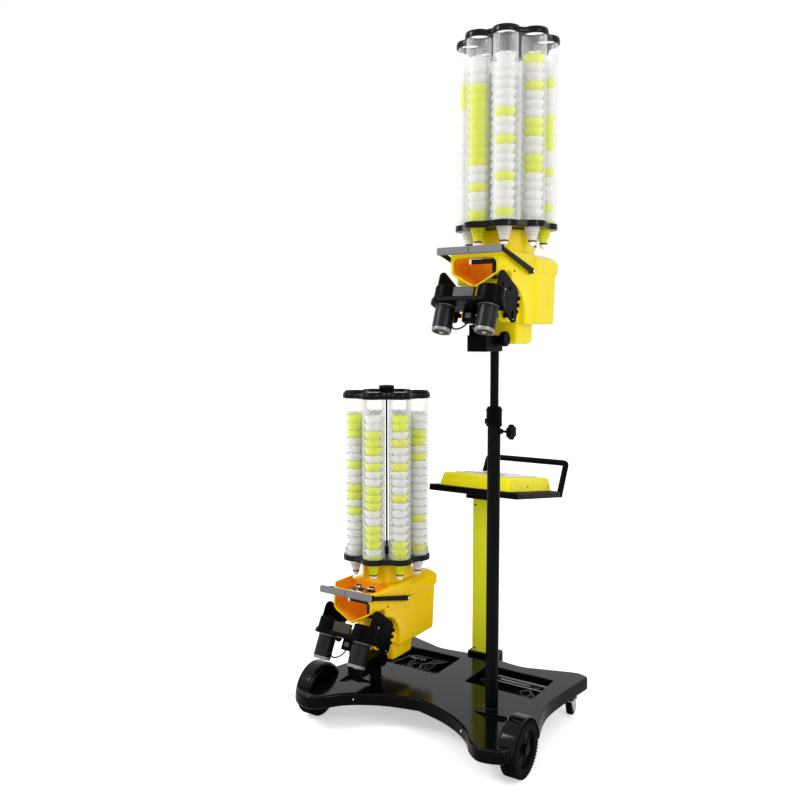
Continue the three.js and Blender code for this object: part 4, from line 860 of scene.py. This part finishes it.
def buildLauncher(name):
    n = launcher
    place = carriagePlace(name)
    outline = corner(n["x"], n["y"], 48, -90, 90, 16) + corner(-n["x"], n["y"], 48, 90, 270, 16)
    plate = slab(outline, -12, 2, 2.0, 3)
    caps, holes, bits = [], [], []
    for side in (-1, 1):
        top = n["capTop"]
        cap = turned([(0, -1), (n["cap"], -1), (n["cap"], top - 4)]
                     + corner(n["cap"] - 3, top - 3, 3, 0, 90, 5)
                     + [(36, top), (35, top - 1.6), (0, top - 1.6)], 64)
        hollow = rod(39, 2, 39, 64)
        window = cuboid((-50, -6, 5), (-15, 43, 39))
        hole = rod(12.4, -16, 6, 32)
        cap, *hollows = [onSide(placed(part, at(n["x"], n["y"], 0)), side)
                         for part in (cap, hollow, window, hole)]
        caps.append(add(cap))
        holes += [cut(part) for part in hollows]
        bits.append(placed(turned([(42, 2), (44.5, 2), (44.5, 7), (43.6, 8), (42, 8)], 64, closed=True),
                           at(side * n["x"], n["y"], 0)))
        for degrees in (30, 150, 270):
            a = math.radians(degrees)
            bits.append(placed(screw(3, 1.6), at(side * n["x"] + 45 * math.cos(a) * side,
                                                 n["y"] + 45 * math.sin(a), 2)))
    body = shaped(plate, *caps, *holes)
    bits.append(painted(cuboid((-36, -150, -2), (36, -138, 37), 2, 3), 1))
    bits.append(cuboid((-33, -140, -4), (33, -96, 3), 1.5, 2))
    bits.append(placed(rod(7, -100, 100, 32), alongX))
    bits.append(shaped(cuboid((-32, -76, -48), (32, -52, -1), 2.5, 3),
                       cut(cuboid((-24, -78, -40), (24, -73.5, -12)))))
    bits.append(painted(cuboid((-22, -77.5, -36), (-2, -72.5, -20), 1, 2), 3))
    bits.append(painted(placed(screw(4, 2), at(16, -73.5, -26) @ turn(90, "X")), 2))
    for side in (-1, 1):
        arm = placed(slab(armOutline(), n["armIn"], n["armOut"], 1.2, 2), sideways)
        hub = placed(turned([(0, 98.8), (14, 98.8), (14, 107.8), (12.6, 108.8), (0, 108.8)], 40), alongX)
        stuff = [arm, hub]
        for y, z in ((13, 60), (15, 38), (14, 16), (8, -12), (-100, 62), (-52, 68)):
            stuff.append(placed(turned([(0, 99.5), (6.5, 99.5), (6.5, 107.6), (5.6, 108.6), (0, 108.6)], 24),
                                at(0, y, z) @ alongX))
        stuff.append(cuboid((98.8, -126, 18), (108.6, -92, 26), 1.5, 2))
        for y, z in ((-86, 50), (-2, -14)):
            stuff.append(painted(placed(screw(3.2, 1.6), at(n["armOut"], y, z) @ turn(90, "Y")), 2))
        bits.append(onSide(gathered(*stuff), side))
    headPiece(name, "LauncherFrame", gathered(body, *bits),
              [blackPlastic, oliveBlack, brightScrew, sleeveGrey], "launcher_frame", place, "launcher")
    loops = []
    for side in (-1, 1):  # the motors' leads, held at both ends
        start, end = Vector((side * 12, -68, -40)), Vector((side * 50, n["y"] + 10, -70))
        hang = [start, start + Vector((0, -6, -16)), start + Vector((side * 6, -18, -34)),
                end + Vector((-side * 10, 0, -16)), end + Vector((-side * 4, 0, -4)), end]
        loops.append(wire([tuple(p) for p in hang], 2.6, 3))
    headPiece(name, "MotorLeads", gathered(*loops), glossBlack, "", place, "launcher")
    for word, side in sides.items():
        top, radius = n["motorTop"], n["motor"]
        can = turned([(0, top), (radius, top), (radius, top - 7), (30.2, top - 8), (30.2, top - 11),
                      (radius, top - 12), (radius, top - 74), (30, top - 76), (0, top - 76)], 64)
        collar = painted(turned([(30.4, top - 1), (31.9, top - 1), (31.9, top - 3.4), (30.4, top - 3.4)], 64,
                                closed=True), 1)
        ring = painted(turned([(29, top - 75), (30.6, top - 75), (30.6, top - 80), (29.4, top - 84),
                               (25.5, top - 84.5), (25.5, top - 81), (0, top - 81), (0, top - 75)], 64), 1)
        dish = rod(24.5, top - 81.4, top - 80)
        end = painted(roundedDisc(8, top - 86, top - 80, 1, 32), 2)
        tabs = [painted(cuboid((x - 3, 12, top - 85.5), (x + 3, 14, top - 80), 0.3, 1), 2) for x in (-9, 9)]
        vent = cuboid((-2.2, 30.2, top - 66), (2.2, 31.5, top - 52), 0.5, 1)
        shaftBar = turned([(0, top - 10), (5, top - 10), (5, top + 29), (4.3, top + 30), (0, top + 30)], 28)
        spot = place @ at(side * n["x"], n["y"], 0)
        motor = gathered(can, collar, ring, dish, end, shaftBar, *tabs, vent)
        headPiece(name, word.title() + "Motor", motor, [motorBlack, motorRing, zincSteel],
                  word + "_motor", spot, "launcher")
        foam = turned([(5.4, 6), (12, 6), (12, 12), (34, 12), (36, 14), (34, 19), (33, 23), (34, 27),
                       (36, 32), (34, 34), (5.4, 34)], 64, closed=True)
        hub = turned([(5.4, 33.6), (16, 33.6), (16, 35), (15, 35.6), (5.4, 35.6)], 40, closed=True)
        headPiece(name, word.title() + "ThrowWheel", gathered(foam, painted(hub, 1)),
                  [foamGrey, blackPlastic], word + "_throw_wheel", spot, word + "_thrower")


magazine = {"y": 74, "z": 432, "ring": 121, "count": 8, "lobe": 45, "spread": 62, "plate": 20, "lidLow": 586,
            "lidTop": 602, "stacked": 19, "hang": -60, "pitch": 27.8}
# which shuttlecocks of a stack are yellow, lowest first, tube by tube
yellowOnes = {
    "lower": [{1, 5, 13, 15, 16}, {0, 4, 9, 10, 17}, {2, 3, 8, 14}, {0, 6, 7, 12}, {2, 8, 9, 12, 16},
              {6, 8, 9, 12, 16, 17, 18}, {0, 2, 3, 4, 7, 8, 9, 12, 14, 15, 16}, {0, 1, 2, 8, 12, 15, 17, 18}],
    "upper": [{0, 2, 6, 9, 10, 11, 12, 16}, {2, 6, 10}, {0, 5, 9, 14}, {3, 8, 12}, {14, 15, 16},
              {0, 1, 4, 7, 8, 9, 10, 11, 12, 13, 14, 15}, {1, 5, 9, 12}, {6, 7, 10, 11, 15, 18}],
}


def scallop():  # the outline with one lobe for each tube
    outline = []
    for i in range(magazine["count"]):
        out = i * 45
        x, y = magazine["ring"] * math.cos(math.radians(out)), magazine["ring"] * math.sin(math.radians(out))
        outline += corner(x, y, magazine["lobe"], out - magazine["spread"], out + magazine["spread"], 12)
    return outline


def ringPlace(i):
    return turn(i * 45, "Z") @ at(magazine["ring"], 0, 0)


def aroundRing(bm):  # a copy of the shape at each tube
    return [placed(bm.copy(), ringPlace(i)) for i in range(magazine["count"])]


def simpleShuttle(yellow):
    bm = turned([(15, 31), (33.5, 89), (32.4, 89), (13.6, 31)], 16, closed=True)
    for v in bm.verts:  # the net's rim goes up and down
        if v.co.z > 80 and round(math.atan2(v.co.y, v.co.x) / (math.pi / 8)) % 2:
            v.co.z -= 3.5
    painted(bm, 1 if yellow else 0)
    band = painted(turned([(12.4, 25), (14.6, 25), (14.6, 29), (12.4, 29)], 10, closed=True), 3)
    return gathered(bm, band)


def detailedShuttle(yellow):
    skirt = turned([(12.4, 19), (18, 40), (25.6, 65), (33.2, 90), (31.8, 90), (24.2, 65), (16.6, 40),
                    (11, 19)], 32, closed=True)
    for v in skirt.verts:
        a = math.atan2(v.co.y, v.co.x)
        wave = 1 + 0.035 * math.cos(16 * a) * min(1, max(0, (v.co.z - 19) / 10))
        v.co.x *= wave
        v.co.y *= wave
    painted(skirt, 1 if yellow else 0)
    rings = []
    for z in (37, 46):
        radius = 12.2 + (z - 19) * 0.29
        dash = painted(cuboid((radius, -1.3, z - 0.6), (radius + 1.3, 1.3, z + 0.6)), 3)
        repeated(dash, 16)
        rings.append(dash)
    band = painted(turned([(0, 15), (12.6, 15), (13.2, 16), (13.2, 19.4), (12.6, 20.4), (0, 20.4)], 32), 3)
    corkShape = painted(turned([(0, 0)] + corner(0, 11.6, 11.6, -80, 0, 6) + [(12, 15.2), (0, 15.2)], 32), 2)
    return gathered(skirt, band, corkShape, *rings)


def buildMagazine(name):
    m = magazine
    place = headPlace(name) @ at(0, m["y"], m["z"]) @ turn(heads[name]["turn"], "Z")
    base = slab(scallop(), 0, m["plate"], 2.6, 3)
    cuts = []
    for low, high, radius in ((10, 24, 40.4), (-4, 24, 30)):
        cuts += [cut(part) for part in aroundRing(rod(radius, low, high))]
    base = shaped(base, *cuts)
    axis = painted(rod(3.4, 10, 593, 28), 1)
    hub = turned([(0, 15), (34, 15)] + corner(32, 22, 2, 0, 90, 3) + [(14, 26), (8, 34), (0, 34)], 48)
    spindle = turned([(0, -22), (10.5, -22), (11.5, -21), (11.5, 10), (0, 10)], 40)
    headPiece(name, "MagazineBase", gathered(base, axis, hub, spindle),
              [glossBlack, powderBlack], "magazine_base", place, "magazine")
    lid = slab(scallop(), m["lidLow"], m["lidTop"], 3.4, 4)
    lid = shaped(lid, *[cut(part) for part in aroundRing(rod(40.4, 580, 610))])
    grip = turned([(0, 600), (31, 600), (30, 603), (26, 604), (26, 606)] + corner(24, 625, 4, 0, 90, 5)
                  + [(20, 629), (18, 627.5), (0, 627.5)], 56)
    ribs = cuboid((25.4, -1.8, 606), (28, 1.8, 625), 0.8, 2)
    repeated(ribs, 18)
    rims = aroundRing(turned([(40.5, 600), (44, 600), (43.4, 604.5), (42.2, 606), (41, 605), (40.5, 603)],
                             56, closed=True))
    headPiece(name, "MagazineTop", gathered(lid, grip, ribs, *rims), glossBlack,
              "magazine_top", place, "magazine")
    plain = {yellow: simpleShuttle(yellow) for yellow in (False, True)}
    fancy = {yellow: detailedShuttle(yellow) for yellow in (False, True)}
    for i in range(m["count"]):
        tubePlace = place @ ringPlace(i)
        wall = turned([(38.2, 10.4), (40, 10.4), (40, 597.4), (39.6, 598), (38.6, 598), (38.2, 597.4)], 48,
                      closed=True)
        headPiece(name, "Tube%d" % (i + 1), wall, clearTube, "tube_%d" % (i + 1), tubePlace,
                  "magazine")
        yellow = yellowOnes[name][i]
        stack = [placed(fancy[0 in yellow].copy(), at(0, 0, m["hang"]))]
        for k in range(1, m["stacked"]):
            turnedPlace = at(0, 0, m["hang"] + m["pitch"] * k) @ turn(k * 23.7, "Z")
            stack.append(placed(plain[k in yellow].copy(), turnedPlace))
        top = painted(turned([(0, 0)] + corner(0, 13, 13, -80, 0, 4) + [(13.2, 30), (0, 30)], 20), 2)
        stack.append(placed(top, at(0, 0, m["hang"] + m["pitch"] * (m["stacked"] - 1))))
        headPiece(name, "Stack%d" % (i + 1), gathered(*stack),
                  [skirtWhite, skirtYellow, corkWhite, bandDark], "", tubePlace, "magazine")
    for kept in (plain, fancy):
        for bm in kept.values():
            bm.free()


buildPlatform()
buildDeckFittings()
buildTrayWires()
buildWheels()
buildCasters()
print("platform done")
buildPoles()
buildColumn()
buildConsole()
print("poles and console done")
for name in heads:
    buildHousing(name)
    buildMount(name)
    buildBar(name)
    buildChute(name)
    buildGripper(name)
    buildLauncher(name)
    buildMagazine(name)
    print(name, "head done")


# Stage

studio = {"ambient": 0.92, "key": 112, "fill": 36, "floor": "f4f4f4", "floorGlow": 0.45}


def buildStage():
    bm = bmesh.new()
    bmesh.ops.create_grid(bm, x_segments=1, y_segments=1, size=30)
    mesh = bpy.data.meshes.new("studioFloor")
    bm.to_mesh(mesh)
    bm.free()
    floor = linked("studioFloor", mesh)
    floorPaint = finish("studioFloor", studio["floor"], 0.9, tint=0.0, bump=0.0, specular=0.1)
    tree, links = floorPaint.node_tree, floorPaint.node_tree.links
    path = shaderNode(tree, "LightPath")
    glow = tree.nodes.new("ShaderNodeMath")  # the floor is seen lighter than it lights
    glow.operation = "MULTIPLY"
    glow.inputs[1].default_value = studio["floorGlow"]
    links.new(path.outputs["Is Camera Ray"], glow.inputs[0])
    shader = tree.nodes["Principled BSDF"]
    shader.inputs["Emission Color"].default_value = (1, 1, 1, 1)
    links.new(glow.outputs[0], shader.inputs["Emission Strength"])
    mesh.materials.append(floorPaint)

    world = bpy.data.worlds.new("studio")
    bpy.context.scene.world = world
    world.use_nodes = True
    tree, links = world.node_tree, world.node_tree.links
    back = tree.nodes["Background"]
    back.inputs["Color"].default_value = (1, 1, 1, 1)
    path = shaderNode(tree, "LightPath")
    seen = path.outputs["Is Camera Ray"]  # white where it is seen, mirrored or seen through
    for word in ("Is Glossy Ray", "Is Transmission Ray"):
        either = tree.nodes.new("ShaderNodeMath")
        either.operation = "MAXIMUM"
        links.new(seen, either.inputs[0])
        links.new(path.outputs[word], either.inputs[1])
        seen = either.outputs[0]
    level = shaderNode(tree, "MapRange", To_Min=studio["ambient"], To_Max=1)
    links.new(seen, level.inputs["Value"])
    links.new(level.outputs["Result"], back.inputs["Strength"])

    for word, spot, size, power in (("key", (-2.6, -3.4, 4.2), 1.5, studio["key"]),
                                    ("fill", (3.4, -1.6, 2.6), 1.6, studio["fill"])):
        lamp = bpy.data.lights.new(word, "AREA")
        lamp.size = size
        lamp.energy = power
        holder = linked(word, lamp)
        holder.location = spot
        holder.rotation_euler = (Vector((0, -0.1, 0.9)) - Vector(spot)).to_track_quat("-Z", "Y").to_euler()

    camera = bpy.data.cameras.new("camera")
    camera.lens = 37.855
    camera.sensor_width = 36
    camera.clip_end = 100
    holder = linked("camera", camera)
    holder.location = (1.4771293, -2.7048973, 1.37214)
    holder.rotation_euler = (math.radians(90 - 4.42), 0, math.radians(33.24))
    bpy.context.scene.camera = holder
    bpy.context.scene.view_settings.view_transform = "Standard"
    bpy.context.scene.cycles.transparent_max_bounces = 40


buildStage()
print("stage done")
